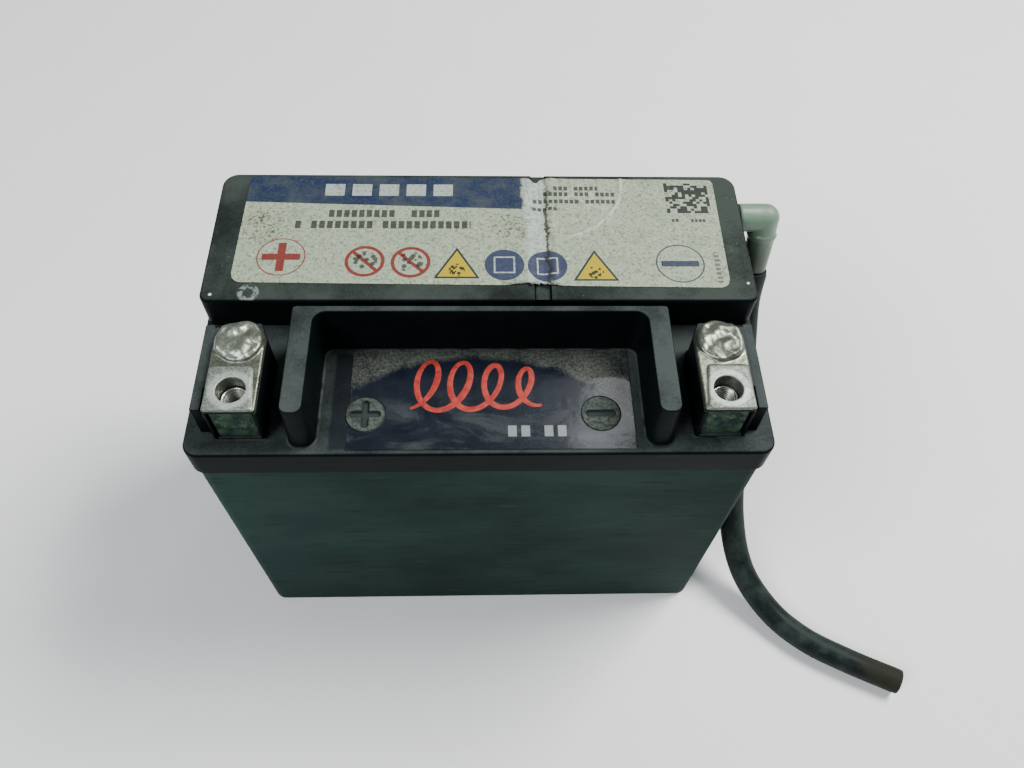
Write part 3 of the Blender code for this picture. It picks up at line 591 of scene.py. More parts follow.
def cast_lead():
    """Cast lead: blotchy grey with a worn ring on the pad, tarnished green on the upright front, painted
    shade near black on the plate's front face, and painted shade dulling the right-hand dome.
    """
    s = Surface("cast_lead", IOR=1.6, Specular_IOR_Level=0.04)
    lumps = s.noise(3.4, 5, 0.6, twist=0.5)
    grains = s.noise(0.45, 4, 0.65)
    film = s.noise(3.0, 5, 0.62, shift=11)
    mirrored_place = s.vector("MULTIPLY", s.vector("ABSOLUTE", s.place), (1, 1, 0))
    from_bolt = s.vector("DISTANCE", mirrored_place, (TERMINAL_X, -BOLT_Y, 0))
    from_post = s.vector("DISTANCE", mirrored_place, (TERMINAL_X, -POST_Y, 0))

    bright = s.mix(s.fade(grains, 0.35, 0.65), (0.24, 0.27, 0.22), (0.38, 0.42, 0.36))
    dull = s.mix(s.fade(grains, 0.35, 0.65), (0.09, 0.1, 0.07), (0.19, 0.21, 0.155))
    dome = s.fade(from_post, 6.2, 5.8)
    dullness = s.fade(film, 0.44, 0.62)
    s.base = s.mix(s.either(s.times(dullness, 0.7), s.times(s.without(1.0, dome), 0.75)), bright, dull)
    # painted shade: the right-hand dome is dulled to offset the key light falling on it
    s.coat(s.times(dome, s.fade(s.x, -10, 10, 0.0, 0.5)), (0.08, 0.09, 0.072))
    pad = s.times(s.fade(s.z, PAD_TOP - 0.33, PAD_TOP - 0.2), s.fade(s.y, PAD_BACK + 0.3, PAD_BACK - 0.1))
    worn = s.fade(s.add(from_bolt, s.times(lumps, 1.5)), 6.6, 5.6)
    pad_colour = s.mix(s.fade(grains, 0.4, 0.62), (0.13, 0.15, 0.13), (0.27, 0.3, 0.26))
    ring_colour = s.mix(s.fade(grains, 0.35, 0.6), (0.3, 0.35, 0.31), (0.46, 0.51, 0.46))
    pad_colour = s.mix(s.times(worn, 0.9), pad_colour, ring_colour)
    s.coat(pad, pad_colour)
    pits = s.times(s.fade(s.cells(1.5), 0.14, 0.05), s.fade(film, 0.4, 0.5))
    s.coat(s.times(pits, 0.6), (0.09, 0.1, 0.08))

    inside = s.fade(from_bolt, BOLT_HOLE_R + 0.3, BOLT_HOLE_R + 0.1)
    inside = s.times(inside, s.fade(s.z, PAD_TOP - 0.15, PAD_TOP - 1.05))
    s.coat(s.times(inside, 0.85), (0.16, 0.175, 0.15))
    front = s.fade(s.y, PEDESTAL_FRONT + 0.8, PEDESTAL_FRONT + 0.65)
    front = s.times(s.fade(s.z, PLATE_TOP - 0.1, PLATE_TOP - 0.3), front)
    tarnish_and_shade = s.mix(s.fade(lumps, 0.36, 0.62), (0.009, 0.024, 0.021), (0.04, 0.072, 0.05))
    crusted = s.times(s.fade(film, 0.52, 0.64), s.fade(grains, 0.4, 0.6))
    tarnish_and_shade = s.mix(crusted, tarnish_and_shade, (0.095, 0.13, 0.07))
    # painted shade: above the pedestal top the front is the plate's own front face, made near black
    tarnish_and_shade = s.mix(s.fade(s.z, PEDESTAL_TOP - 0.3, PEDESTAL_TOP + 0.3), tarnish_and_shade, (0.008, 0.012, 0.012))
    s.coat(front, tarnish_and_shade)
    metal = s.times(s.without(1.0, front), s.fade(pad, 0, 1, 0.85, 0.55))
    rough = s.add(s.fade(film, 0.35, 0.65, 0.26, 0.42), s.times(pad, 0.14), s.times(front, 0.25))
    rough = s.add(rough, s.times(grains, 0.1))
    return s.finish(
        Metallic=metal, Roughness=rough,
        Normal=s.bump(grains, 0.04, s.bump(s.fade(s.cells(2.2), 0.0, 0.9), 0.05)),
    )


def tinned_brass():
    """Bright tinned brass with dirt in the roots of its thread."""
    s = Surface("tinned_brass")
    stain = s.noise(1.6, 4, 0.6)
    level = s.vector("MULTIPLY", s.vector("ABSOLUTE", s.place), (1, 1, 0))
    from_bolt = s.vector("DISTANCE", level, (TERMINAL_X, -BOLT_Y, 0))
    root = s.fade(from_bolt, THREAD_CORE_R + 0.12, THREAD_CORE_R + 0.35)
    s.base = s.mix(s.fade(stain, 0.45, 0.7), (0.8, 0.81, 0.76), (0.5, 0.49, 0.42))
    s.coat(s.times(root, s.fade(s.z, INSERT_TOP - 0.05, INSERT_TOP - 0.2)), (0.035, 0.035, 0.028))
    return s.finish(
        Metallic=s.fade(stain, 0.3, 0.7, 1.0, 0.85), Roughness=s.fade(stain, 0.3, 0.7, 0.22, 0.38),
        Normal=s.bump(s.noise(0.4, 3), 0.01),
    )


def pale_nylon():
    """Milky nylon, with painted shade making it darker and greener towards the hose."""
    s = Surface("pale_nylon", IOR=1.53, Subsurface_Weight=0.3, Subsurface_Scale=0.002)
    s.shader.inputs["Subsurface Radius"].default_value = (1.0, 1.0, 0.7)
    stain = s.noise(3.5, 4, 0.6)
    # painted shade: darker and greener from the stub down to the hose
    s.base = s.mix(s.fade(s.z, 121, 104), (0.14, 0.215, 0.155), (0.05, 0.075, 0.045))
    s.coat(s.fade(stain, 0.5, 0.72, 0.0, 0.4), (0.12, 0.14, 0.07))
    return s.finish(
        Roughness=s.fade(stain, 0.3, 0.7, 0.32, 0.5),
        Normal=s.bump(s.noise(0.8, 4), 0.02),
    )


def hose_rubber():
    """Black rubber with a dusty bloom, brown with earth at its free end."""
    s = Surface("hose_rubber", IOR=1.5, Specular_IOR_Level=0.1)
    bloom = s.noise(7, 5, 0.62, stretch=(1, 1, 1.6))
    fine = s.noise(0.7, 4, 0.65)
    s.base = s.mix(s.fade(bloom, 0.38, 0.68), (0.006, 0.011, 0.0105), (0.022, 0.034, 0.031))
    s.coat(s.times(s.fade(fine, 0.56, 0.72), 0.4), (0.04, 0.045, 0.038))
    end = s.fade(s.add(s.x, s.times(bloom, 12)), HOSE_HIGH.x - 15, HOSE_HIGH.x - 3)
    s.coat(s.times(end, 0.8), (0.02, 0.02, 0.012))
    return s.finish(
        Roughness=s.add(s.fade(bloom, 0.35, 0.7, 0.42, 0.62), s.times(end, 0.15)),
        Normal=s.bump(s.add(fine, s.noise(2.2, 3)), 0.03),
    )


def label_film():
    """The printed top label, worn and dirty, with its signs as plain generic shapes."""
    s = Surface("label_film", IOR=1.45, Specular_IOR_Level=0.25)
    blotch = s.noise(8, 6, 0.68, shift=3)
    grit = s.noise(0.8, 5, 0.7)
    wear = s.fade(s.noise(1.6, 6, 0.72, shift=41), 0.6, 0.72)
    crack_x = s.add(18.4, s.times(s.add(s.noise(4, 5, 0.65, shift=23), -0.5), 5.0))
    from_crack = s.math("SUBTRACT", s.x, crack_x)
    kept = s.without(1.0, s.times(wear, 0.3))

    paper = s.mix(s.fade(blotch, 0.3, 0.7), (0.235, 0.285, 0.2), (0.39, 0.45, 0.34))
    paper = s.mix(s.fade(s.noise(0.55, 3, 0.7, shift=53), 0.5, 0.7, 0.0, 0.5), paper, (0.14, 0.165, 0.115))
    paper = s.mix(s.fade(s.noise(1.5, 4, 0.7, shift=61), 0.54, 0.74, 0.0, 0.55), paper, (0.56, 0.62, 0.52))
    above_band = s.math("SUBTRACT", s.y, s.add(s.times(s.x, -0.032), 29.0))
    band_end = s.fade(s.add(s.x, s.times(s.noise(2.5, 4), 3.0)), 13.6, 12.6)
    band = s.times(s.fade(above_band, -0.12, 0.12), band_end)
    fading = s.fade(s.noise(2.5, 5, 0.7, stretch=(3, 1, 1)), 0.4, 0.65)
    faded = s.mix(fading, (0.012, 0.022, 0.06), (0.021, 0.034, 0.058))
    s.base = s.mix(s.times(band, s.without(1.0, s.times(wear, 0.2))), paper, faded)
    s.coat(s.times(s.greeked(-45.6, -7.1, 33.6, 38.1, 7.7, gaps=0.0), 0.85), (0.36, 0.41, 0.38))

    black = s.either(
        s.greeked(-43, -11.5, 25.4, 28.1, 2.1),
        s.greeked(-52, -3, 21.2, 24.0, 2.2),
        s.greeked(20.5, 33.5, 35.9, 37.5, 1.5),
        s.greeked(14.5, 38.5, 33.6, 35.2, 1.5),
        s.greeked(14.5, 38.2, 30.8, 32.3, 1.5),
        s.greeked(14.2, 22.3, 28.0, 29.3, 1.5),
        s.greeked(53.7, 63.9, 23.9, 25.1, 1.1),
    )
    black = s.times(black, 0.9)
    rows = s.math("COMPARE", s.math("FRACT", s.times(s.y, 0.66)), 0.5, 0.3)
    side_print = s.times(s.rectangle(63.8, 65.2, 2.2, 12.8, 0.05), rows)
    black = s.either(black, s.times(side_print, 0.7))
    code = s.node("TexWhiteNoise")
    code.noise_dimensions = "2D"
    s.link(s.vector("FLOOR", s.vector("MULTIPLY", s.place, (1.02, 1.1, 0))), code.inputs["Vector"])
    code_cells = s.math("GREATER_THAN", code.outputs["Value"], 0.45)
    black = s.either(black, s.times(s.rectangle(52.9, 65.6, 27.3, 39.0, 0.05), code_cells))

    red, yellow, blue = s.ring(-54.2, 10.9, 6.4, 0.35), 0.0, s.ring(54.3, 8.8, 6.5, 0.4)
    red = s.either(red, s.rectangle(-59.4, -49.0, 9.8, 12.0), s.rectangle(-55.3, -53.1, 5.9, 15.9))
    blue = s.either(blue, s.rectangle(49.1, 59.5, 7.7, 9.7))
    for x, y in ((-31.6, 9.4), (-19.2, 9.1)):
        across = s.add(s.math("SUBTRACT", s.x, x), s.math("SUBTRACT", s.y, y))
        slash = s.times(s.math("COMPARE", across, 0.0, 0.75), s.disc(x, y, 4.9))
        red = s.either(red, s.ring(x, y, 4.9, 1.0), slash)
        black = s.either(black, s.times(s.disc(x, y, 3.5), s.fade(s.cells(1.7), 0.46, 0.4), 0.85))
    for x, y in ((-6.7, 7.1), (30.9, 6.3)):
        border, inside = (s.polygon(x, y, reach, 3, -math.pi / 2) for reach in (3.6, 3.0))
        yellow = s.either(yellow, inside)
        black = s.either(black, s.without(border, inside))
        black = s.either(black, s.times(s.disc(x, y - 0.7, 2.2), s.fade(s.cells(1.1), 0.5, 0.44)))
    for x, y in ((6.2, 8.2), (17.9, 7.8)):
        frame_line = s.without(s.polygon(x, y, 2.9, 4, 0), s.polygon(x, y, 2.45, 4, 0))
        blue = s.either(blue, s.without(s.disc(x, y, 5.4), frame_line))
        s.coat(s.times(s.disc(x, y, 5.4), 0.5), (0.4, 0.45, 0.44))

    strip = s.times(s.fade(from_crack, 0.2, -0.4), s.fade(s.add(s.x, s.times(grit, 2.0)), 12.4, 14.0))
    strip = s.times(strip, s.fade(s.noise(2.2, 5, 0.7, shift=9), 0.3, 0.55))
    s.coat(s.times(strip, 0.65), (0.44, 0.5, 0.52))
    scuffed = s.fade(s.math("ABSOLUTE", s.math("SUBTRACT", s.away(18.5, 39.5), 22.0)), 0.5, 0.1)
    scuffed = s.times(scuffed, s.fade(s.y, 17, 20), s.fade(s.x, 20, 23))
    glare = s.times(s.disc(31, 31.5, 7.5, 4), s.fade(s.noise(4, 4, 0.6, shift=15), 0.42, 0.62))
    s.coat(s.either(s.times(scuffed, 0.6), s.times(glare, 0.3)), (0.62, 0.66, 0.6))

    flecks = s.fade(s.noise(0.9, 3, 0.75, shift=37), 0.5, 0.61)
    dirty = s.either(
        s.times(s.fade(s.away(-60, 22), 13, 2), 1.2),
        s.times(s.fade(s.away(8, 22), 10, 2), 1.2),
        s.times(s.fade(s.away(36, 36), 14, 2), 0.4),
        s.times(s.fade(s.math("ABSOLUTE", from_crack), 5, 0.5), 0.7),
        0.6,
    )
    clouds = s.times(s.fade(blotch, 0.42, 0.68), dirty, 0.75, s.fade(band, 0.0, 1.0, 1.0, 0.35))
    s.coat(clouds, (0.15, 0.155, 0.1))
    s.coat(s.times(flecks, dirty, s.fade(grit, 0.4, 0.55, 0.45, 1.0)), (0.05, 0.055, 0.035))
    s.coat(s.times(yellow, kept, 0.95), (0.38, 0.29, 0.004))
    s.coat(s.times(red, kept, 0.92), (0.15, 0.01, 0.01))
    s.coat(s.times(blue, kept, 0.92), (0.01, 0.018, 0.06))
    s.coat(s.times(black, kept, 0.95), (0.01, 0.014, 0.014))
    s.coat(s.times(s.fade(s.cells(2.1), 0.11, 0.05), s.fade(blotch, 0.4, 0.6), 0.55), (0.06, 0.07, 0.05))
    broken = s.fade(s.noise(1.3, 5, 0.7, shift=5), 0.3, 0.46)
    line = s.times(s.fade(s.math("ABSOLUTE", from_crack), 0.75, 0.25), broken)
    line = s.times(line, s.fade(s.y, 39.5, 26, 0.55, 1.0))
    torn = s.fade(s.math("ABSOLUTE", s.add(s.x, -14)), 9, 5)
    edge_dirt = s.times(s.fade(s.y, 2.6, 1.2), torn, s.fade(grit, 0.4, 0.5))
    s.coat(s.either(s.times(line, 0.9), edge_dirt), (0.022, 0.022, 0.014))
    return s.finish(
        Roughness=s.add(s.fade(blotch, 0.3, 0.7, 0.36, 0.54), s.times(flecks, 0.2)),
        Normal=s.bump(s.add(s.times(grit, 0.4), s.noise(3.0, 5, 0.6)), 0.05),
    )


def front_film():
    """The glossy blue-black film: free of dust in an arched patch in the middle, dusty round it."""
    s = Surface("dark_film", IOR=1.5, Specular_IOR_Level=0.3, Coat_Weight=0.35, Coat_Roughness=0.1)
    cloud = s.noise(7, 6, 0.68, shift=13)
    grit = s.noise(0.7, 5, 0.7)
    smoke = s.noise(9, 5, 0.6, stretch=(2.2, 1, 1), shift=29, twist=1.2)
    crumple = s.cells(2.2, "SMOOTH_F1", stretch=(1.4, 1, 1))
    wobble = s.times(s.add(cloud, -0.5), 3.5)
    over = s.math("POWER", s.math("DIVIDE", s.math("ABSOLUTE", s.add(s.x, 1.5)), 37.0), 2.4)
    arch = s.add(s.y, s.times(over, 15.0), wobble)
    dust = s.times(s.fade(arch, -15.8, -13.2), s.fade(s.y, -34, -26))
    dust = s.times(dust, s.fade(s.add(s.times(cloud, 0.6), s.times(grit, 0.5)), 0.38, 0.68, 0.2, 1.0))
    s.base = s.mix(s.fade(cloud, 0.3, 0.7), (0.0035, 0.0055, 0.0105), (0.008, 0.011, 0.019))
    haze = s.times(s.fade(s.y, -22, -33), s.fade(smoke, 0.45, 0.7), s.fade(grit, 0.3, 0.6, 0.6, 1.0))
    s.coat(s.times(haze, 0.6), (0.045, 0.055, 0.056))
    dusty = s.mix(s.fade(grit, 0.35, 0.65), (0.026, 0.033, 0.026), (0.085, 0.094, 0.072))
    s.coat(s.times(dust, 0.85), dusty)
    marks = s.either(*(s.rectangle(x, x + 2.2, -38.6, -35.4, 0.08) for x in (6.6, 10, 15.9, 19.3)))
    s.coat(s.times(marks, 0.75), (0.25, 0.28, 0.28))
    return s.finish(
        Roughness=s.add(0.2, s.times(dust, 0.4), s.times(haze, 0.2), s.times(grit, 0.06)),
        Normal=s.bump(s.times(crumple, s.add(dust, 0.12)), 0.2, s.bump(grit, 0.02)),
    )


def marker_paint():
    s = Surface("marker_paint", IOR=1.45)
    thick = s.noise(1.4, 4, 0.6)
    s.base = s.mix(s.fade(thick, 0.35, 0.65), (0.25, 0.015, 0.01), (0.36, 0.033, 0.02))
    return s.finish(
        Roughness=s.fade(thick, 0.3, 0.7, 0.4, 0.6),
        Normal=s.bump(s.noise(0.6, 4), 0.03),
    )


def plain_rubber(name, colour):
    s = Surface(name, IOR=1.5)
    bloom = s.noise(3, 5, 0.6)
    s.base = s.mix(s.fade(bloom, 0.35, 0.7), colour, tuple(c * 2.2 + 0.004 for c in colour))
    return s.finish(
        Roughness=s.fade(bloom, 0.3, 0.7, 0.5, 0.72),
        Normal=s.bump(s.noise(0.4, 3), 0.02),
    )


def pasted_plate(name, dark, light):
    """Paste pressed into a grid, whose ribs show faintly through it."""
    s = Surface(name, IOR=1.5)
    grain = s.noise(0.9, 6, 0.72)
    ribs = s.math("PINGPONG", s.z, 3.2)
    bars = s.math("PINGPONG", s.y, 4.0)
    grid = s.either(s.fade(ribs, 0.5, 0.2), s.fade(bars, 0.5, 0.2))
    s.base = s.mix(s.fade(grain, 0.35, 0.65), dark, light)
    s.coat(s.times(grid, 0.35), (0.25, 0.26, 0.27))
    strap = s.fade(s.z, 86.0, 86.6)
    s.coat(strap, (0.4, 0.41, 0.41))
    return s.finish(
        Roughness=s.fade(grain, 0.3, 0.7, 0.9, 0.7), Metallic=s.times(strap, 0.85),
        Normal=s.bump(s.add(grain, s.times(grid, 0.6)), 0.12),
    )


def glass_mat():
    s = Surface("glass_mat", IOR=1.45, Sheen_Weight=0.25)
    level = s.noise(0.5, 4, 0.7, stretch=(1, 6, 1))
    upright = s.noise(0.5, 4, 0.7, stretch=(1, 1, 6), shift=5)
    fibres = s.either(level, upright)
    s.base = s.mix(s.fade(fibres, 0.4, 0.7), (0.6, 0.6, 0.55), (0.82, 0.82, 0.78))
    return s.finish(
        Roughness=s.fade(fibres, 0.3, 0.7, 0.98, 0.85),
        Normal=s.bump(fibres, 0.1),
    )


def porous_disc():
    s = Surface("porous_disc", IOR=1.5)
    pores = s.cells(0.35)
    s.base = s.mix(s.fade(pores, 0.1, 0.5), (0.32, 0.31, 0.28), (0.72, 0.71, 0.66))
    return s.finish(
        Roughness=s.fade(pores, 0.1, 0.6, 1.0, 0.85),
        Normal=s.bump(pores, 0.08),
    )


def poured_lead():
    s = Surface("poured_lead", IOR=1.6)
    film = s.noise(3.2, 5, 0.62)
    s.base = s.mix(s.fade(film, 0.35, 0.65), (0.3, 0.31, 0.32), (0.56, 0.57, 0.57))
    return s.finish(
        Metallic=s.fade(film, 0.3, 0.7, 0.95, 0.8), Roughness=s.fade(film, 0.3, 0.7, 0.5, 0.3),
        Normal=s.bump(s.noise(0.7, 5), 0.05),
    )


# Pieces


def cell_x(number):
    return (number - (CELLS - 1) / 2) * CELL_PITCH


def build_case(material):
    """The container: a rounded foot, slightly leaning sides, and six cells open at the top."""
    half_x, half_y, top = CASE_HIGH
    taper, foot_r, edge = 0.3, 2.0, 0.25
    wall_x, wall_y, floor, rim = 71.6, 40.1, 2.6, 99
    half_cell = CELL_PITCH / 2 - 0.75

    def outline(inset):
        return rounded_outline(rectangle(-half_x, half_x, -half_y, half_y), [CORNER_R] * 4, -inset, 12)

    angles = [math.pi / 2 * i / 6 for i in range(7)]
    sections = [(foot_r * (1 - math.cos(a)), outline(taper + foot_r * (1 - math.sin(a)))) for a in angles]
    sections += [(top - edge, outline(0)), (top, outline(edge))]
    operations = [(CUT, block(-wall_x, wall_x, -wall_y, wall_y, rim, top + 1))]
    for x in map(cell_x, range(CELLS)):
        operations.append((CUT, block(x - half_cell, x + half_cell, -wall_y, wall_y, floor, rim + 0.5)))
    make_piece("case_shell", combined(loft(sections), *operations), material, "case")


def rail_operations():
    """The U-shaped rail, highest of all, round the recess for the front film."""
    outer, inner, back, front, tip = 48, 42.5, -9.2, -11.1, -40.7
    corners = [
        (-outer, tip), (-inner, tip), (-inner, front), (inner, front),
        (inner, tip), (outer, tip), (outer, back), (-outer, back),
    ]
    tip_r, recess_r, back_r = 2.2, 3.2, 1
    radii = [tip_r, tip_r, recess_r, recess_r, tip_r, tip_r, back_r, back_r]
    rail = standing(corners, radii, LID_HIGH.z, edge=0.45, fillet=0.9, draft=math.radians(2.5), steps=8)
    return [(JOIN, rail)]


def terminal_operations(side):
    """A terminal's pedestal with its guard wall and web, and the room in it for the block and the post."""
    x, front, back = side * TERMINAL_X, PEDESTAL_FRONT, -12
    inner, outer = TERMINAL_X - 6.5, TERMINAL_X + 6.5
    corners = [
        (inner, front), (outer, front), (outer, back - 2),
        (outer - 2, back), (inner + 2, back), (inner, back - 5),
    ]
    wall = mirrored(rectangle(68, 70.6, -37, -11.5), side)
    web_x = sorted((side * 66.5, side * 68.5))
    return [
        (JOIN, standing(mirrored(corners, side), [0.7] * 6, PEDESTAL_TOP, edge=0.3, fillet=0.5)),
        (JOIN, standing(wall, [0.4] * 4, GUARD_TOP, edge=0.35, fillet=0.3)),
        (JOIN, block(*web_x, -30.5, -12.5, SHELF - 0.5, GUARD_TOP - 0.05)),
        (CUT, block(x - 5.5, x + 5.5, front - 1.5, -27.1, SHELF + 0.9, PEDESTAL_TOP + 1)),
        (CUT, rod(x, POST_Y, 4.8, SHELF - 4, PEDESTAL_TOP + 1)),
    ]


def sign_operations():
    """The two round discs, with a plus sunk in one and a minus in the other."""
    operations = []
    for x, y in (SIGN_PLUS, SIGN_MINUS):
        profile = [(SIGN_R, -0.5), (SIGN_R, SIGN_RISE - 0.15), (SIGN_R - 0.15, SIGN_RISE)]
        operations.append((JOIN, turned(profile, (x, y, SHELF), UP, 64)))
    bars = [(SIGN_PLUS, 4.0, 0.95), (SIGN_PLUS, 0.95, 4.0), (SIGN_MINUS, 3.9, 1.0)]
    for (x, y), half_long, half_wide in bars:
        corners = rectangle(x - half_long, x + half_long, y - half_wide, y + half_wide)
        radii = [0.85 * min(half_long, half_wide)] * 4
        widening = ((SHELF - 0.5, -0.35), (SHELF - 0.1, -0.1), (SHELF + SIGN_RISE + 0.2, 0.15))
        slot = loft([(z, rounded_outline(corners, radii, out, 5)) for z, out in widening])
        operations.append((CUT, slot))
    return operations


def chimney_operations():
    """The valves' chimneys under the vent cover, each open into its cell."""
    radius, bore_r, steps = 5, 3.5, 32
    operations = []
    for x in map(cell_x, range(CELLS)):
        profile = [(radius, SHELF - 0.5), (radius, CHIMNEY_TOP - 0.3), (radius - 0.3, CHIMNEY_TOP)]
        operations.append((JOIN, turned(profile, (x, VALVE_Y, 0), UP, steps)))
        operations.append((CUT, rod(x, VALVE_Y, bore_r, SHELF - 4, CHIMNEY_TOP + 0.5, steps)))
    return operations


def build_lid(material):
    """The lid: a hollow slab with a rounded edge, and all that stands on it or is cut into it."""
    half_x, half_y = LID_HIGH.x, LID_HIGH.y
    edge, lip, wall, deck = 1.0, 0.25, 3.5, 3

    def outline(inset):
        return rounded_outline(rectangle(-half_x, half_x, -half_y, half_y), [CORNER_R] * 4, -inset, 12)

    sections = [(LID_LOW.z, outline(lip)), (LID_LOW.z + lip, outline(0))]
    slab = loft(sections + rounded_edge(SHELF, edge, outline))
    room = block(-half_x + wall, half_x - wall, -half_y + wall, half_y - wall, LID_LOW.z - 1, SHELF - deck)
    operations = rail_operations() + terminal_operations(-1) + terminal_operations(1)
    operations += sign_operations() + [(CUT, room)] + chimney_operations()
    make_piece("lid_moulding", combined(slab, *operations), material, "lid", sharp=32)


def build_cover(material):
    """The raised cover over the valves, with its shallow groove and the port for the elbow."""
    low, high, edge, lip, wall = COVER_LOW, COVER_HIGH, 1.0, 0.15, 2.0
    corners = rectangle(low.x, high.x, low.y, high.y)

    def outline(inset):
        return rounded_outline(corners, [2.5, 2.5, 4.5, 4.5], -inset, 10)

    sections = [(low.z, outline(lip)), (low.z + lip, outline(0))]
    hood = loft(sections + rounded_edge(high.z, edge, outline))
    room = loft([(z, outline(wall)) for z in (low.z - 1, high.z - wall)])
    half_floor, half_mouth, deep = 1.9, 2.4, 1
    profile = [(-half_floor, -deep), (half_floor, -deep), (half_mouth, 0.2), (half_mouth, 1)]
    profile += [(-x, z) for x, z in profile[:1:-1]]
    groove = shell([[(GROOVE_X + x, y, high.z + z) for x, z in profile] for y in (low.y - 1, high.y + 1)])
    slot = block(GROOVE_X - 2.1, GROOVE_X + 2.1, low.y - 1, low.y + 1, low.z - 1, high.z - 0.5)
    port = turned([(4.6, -3), (4.6, 1)], (high.x, ELBOW_Y, ELBOW_Z), OUT)
    shape = combined(hood, *((CUT, tool) for tool in (room, groove, slot, port)))
    make_piece("cover_moulding", shape, material, "vent_cover", sharp=32)


def build_terminal_block(name, side, material):
    """The cast block: a plate with a raised pad and a lumpy dome, and the body down in the pedestal."""
    x, front, half, round_r = side * TERMINAL_X, PEDESTAL_FRONT, 6.4, 6.3

    def layered(corners, radii, sections, steps=6):
        return loft([(z, rounded_outline(corners, radii, out, steps)) for z, out in sections])

    corners = rectangle(x - half, x + half, front, POST_Y + half)
    sections = [(126.5, 0), (PLATE_TOP - 0.4, 0), (PLATE_TOP - 0.15, -0.1), (PLATE_TOP, -0.35)]
    plate = layered(corners, [0.8, 0.8, round_r, round_r], sections, 12)
    corners = rectangle(x - 5.2, x + 5.2, front + 0.6, -27.4)
    body = layered(corners, [0.6] * 4, [(114.9, 0), (127, 0)])
    inner, outer, pad_front = TERMINAL_X - 5.6, TERMINAL_X + 6.2, front + 0.2
    corners = [(inner, pad_front), (outer, pad_front), (outer - 0.3, PAD_BACK), (inner + 1.5, PAD_BACK)]
    pad = layered(mirrored(corners, side), [0.9] * 4, [(127, 0.1), (PAD_TOP - 0.25, 0), (PAD_TOP, -0.25)])
    profile = [(6.1, 126.8), (6.15, 127.5), (6.05, 128.1), (5.75, 128.55)]
    profile += [(5.2, 128.85), (3.8, 128.95), (1.5, 129)]
    dome = turned(profile, (x, POST_Y, 0), UP)
    profile = [(BOLT_HOLE_R, 116.2), (BOLT_HOLE_R, PAD_TOP - 0.25), (BOLT_HOLE_R + 0.35, PAD_TOP + 0.25)]
    hole = turned(profile, (x, BOLT_Y, 0), UP)
    shape = combined(plate, (JOIN, body), (JOIN, pad), (JOIN, dome), (CUT, hole))

    bm = remeshed(shape, voxel=0.22, smoothing=2)
    bm.normal_update()
    middle, seed, highest = Vector((x, POST_Y)), Vector((side * 40, 0, 0)), 129.6
    for vert in bm.verts:
        near_dome = clamp(1 - max(0, (vert.co.xy - middle).length - 5.2) / 1.5)
        on_top = clamp((vert.co.z - 126.4) / 0.6)
        off_pad = 1 if vert.co.y > PAD_BACK + 0.3 else 0.35
        lumps = noise.noise((vert.co + seed) / 2.8) * 0.7 + noise.noise((vert.co + seed) / 1.2) * 0.1
        dents = noise.noise((vert.co - seed) / 0.7) * 0.035
        vert.co += vert.normal * (lumps * (near_dome + 0.12) + dents) * on_top * off_pad
        vert.co.z = min(vert.co.z, highest)
    make_piece(f"cast_block_{name}", bm, material, f"terminal_block_{name}", sharp=60, weighted=False)


def build_insert(name, side, material):
    """The threaded insert: a sleeve whose bore carries an M6 thread."""
    x, bottom, top, outer = side * TERMINAL_X, 116.5, INSERT_TOP, 3.3
    pitch, deep, rows_per_turn = 0.8, 0.42, 10
    rows = int((top - bottom) / pitch * rows_per_turn)

    def ring(z, radius_at):
        radii = [(a, radius_at(a)) for a in angles_round(48)]
        return [(x + r * math.cos(a), BOLT_Y + r * math.sin(a), z) for a, r in radii]

    rings = []
    for row in range(rows + 1):
        z = bottom + (top - bottom) * row / rows
        lead_in = max(0, 0.5 - (top - z)) * 0.9

        def thread(a, z=z, lead_in=lead_in):
            turn = (z / pitch - a / math.tau) % 1
            return THREAD_CORE_R + max(deep * (1 - abs(2 * turn - 1)), lead_in)

        rings.append(ring(z, thread))
    for z, radius in ((top, outer - 0.1), (top - 0.1, outer), (bottom, outer)):
        rings.append(ring(z, lambda a, radius=radius: radius))
    sleeve = shell(rings, wrap=True)
    node = f"terminal_insert_{name}"
    make_piece(f"thread_insert_{name}", sleeve, material, node, sharp=50, weighted=False)


def top_label_height(x, y):
    """The film lies on the cover, sags into the groove, and is creased and bubbled beside it."""
    height = COVER_HIGH.z + 0.2
    place = Vector((x, y, 0))
    in_groove = clamp(1 - abs(x - GROOVE_X - 0.4) / 2.6)
    height -= 0.55 * in_groove * (0.6 + 0.6 * noise.noise(Vector((0, y / 3.5, 5))))
    wander = 1.6 * noise.noise(Vector((0, y / 6, 1)))
    for crease_x, tall, wide in ((13.0, 0.3, 0.9), (19.9, 0.5, 0.9), (10.0, 0.12, 1.4), (23.0, 0.1, 1.8)):
        along = 0.6 + 0.9 * noise.noise(Vector((crease_x, y / 5, 2)))
        height += max(0, along) * tall * bell(x - crease_x - wander, wide)
    height += bell(x - 16.5, 5) * 0.3 * abs(noise.fractal(place / 2.4, 1.0, 2.0, 3))
    fold = (place - Vector((18.5, 39.5, 0))).length - 22
    along_fold = clamp((y - 16) / 3) if x > 19 else 0
    height += 0.26 * along_fold * bell(fold, 0.55)
    bubble = bell(x - 30, 7) * bell(y - 30, 7)
    height += 0.16 * bubble * (0.5 + noise.noise(place / 4))
    return height + 0.03 * noise.noise(place / 9)


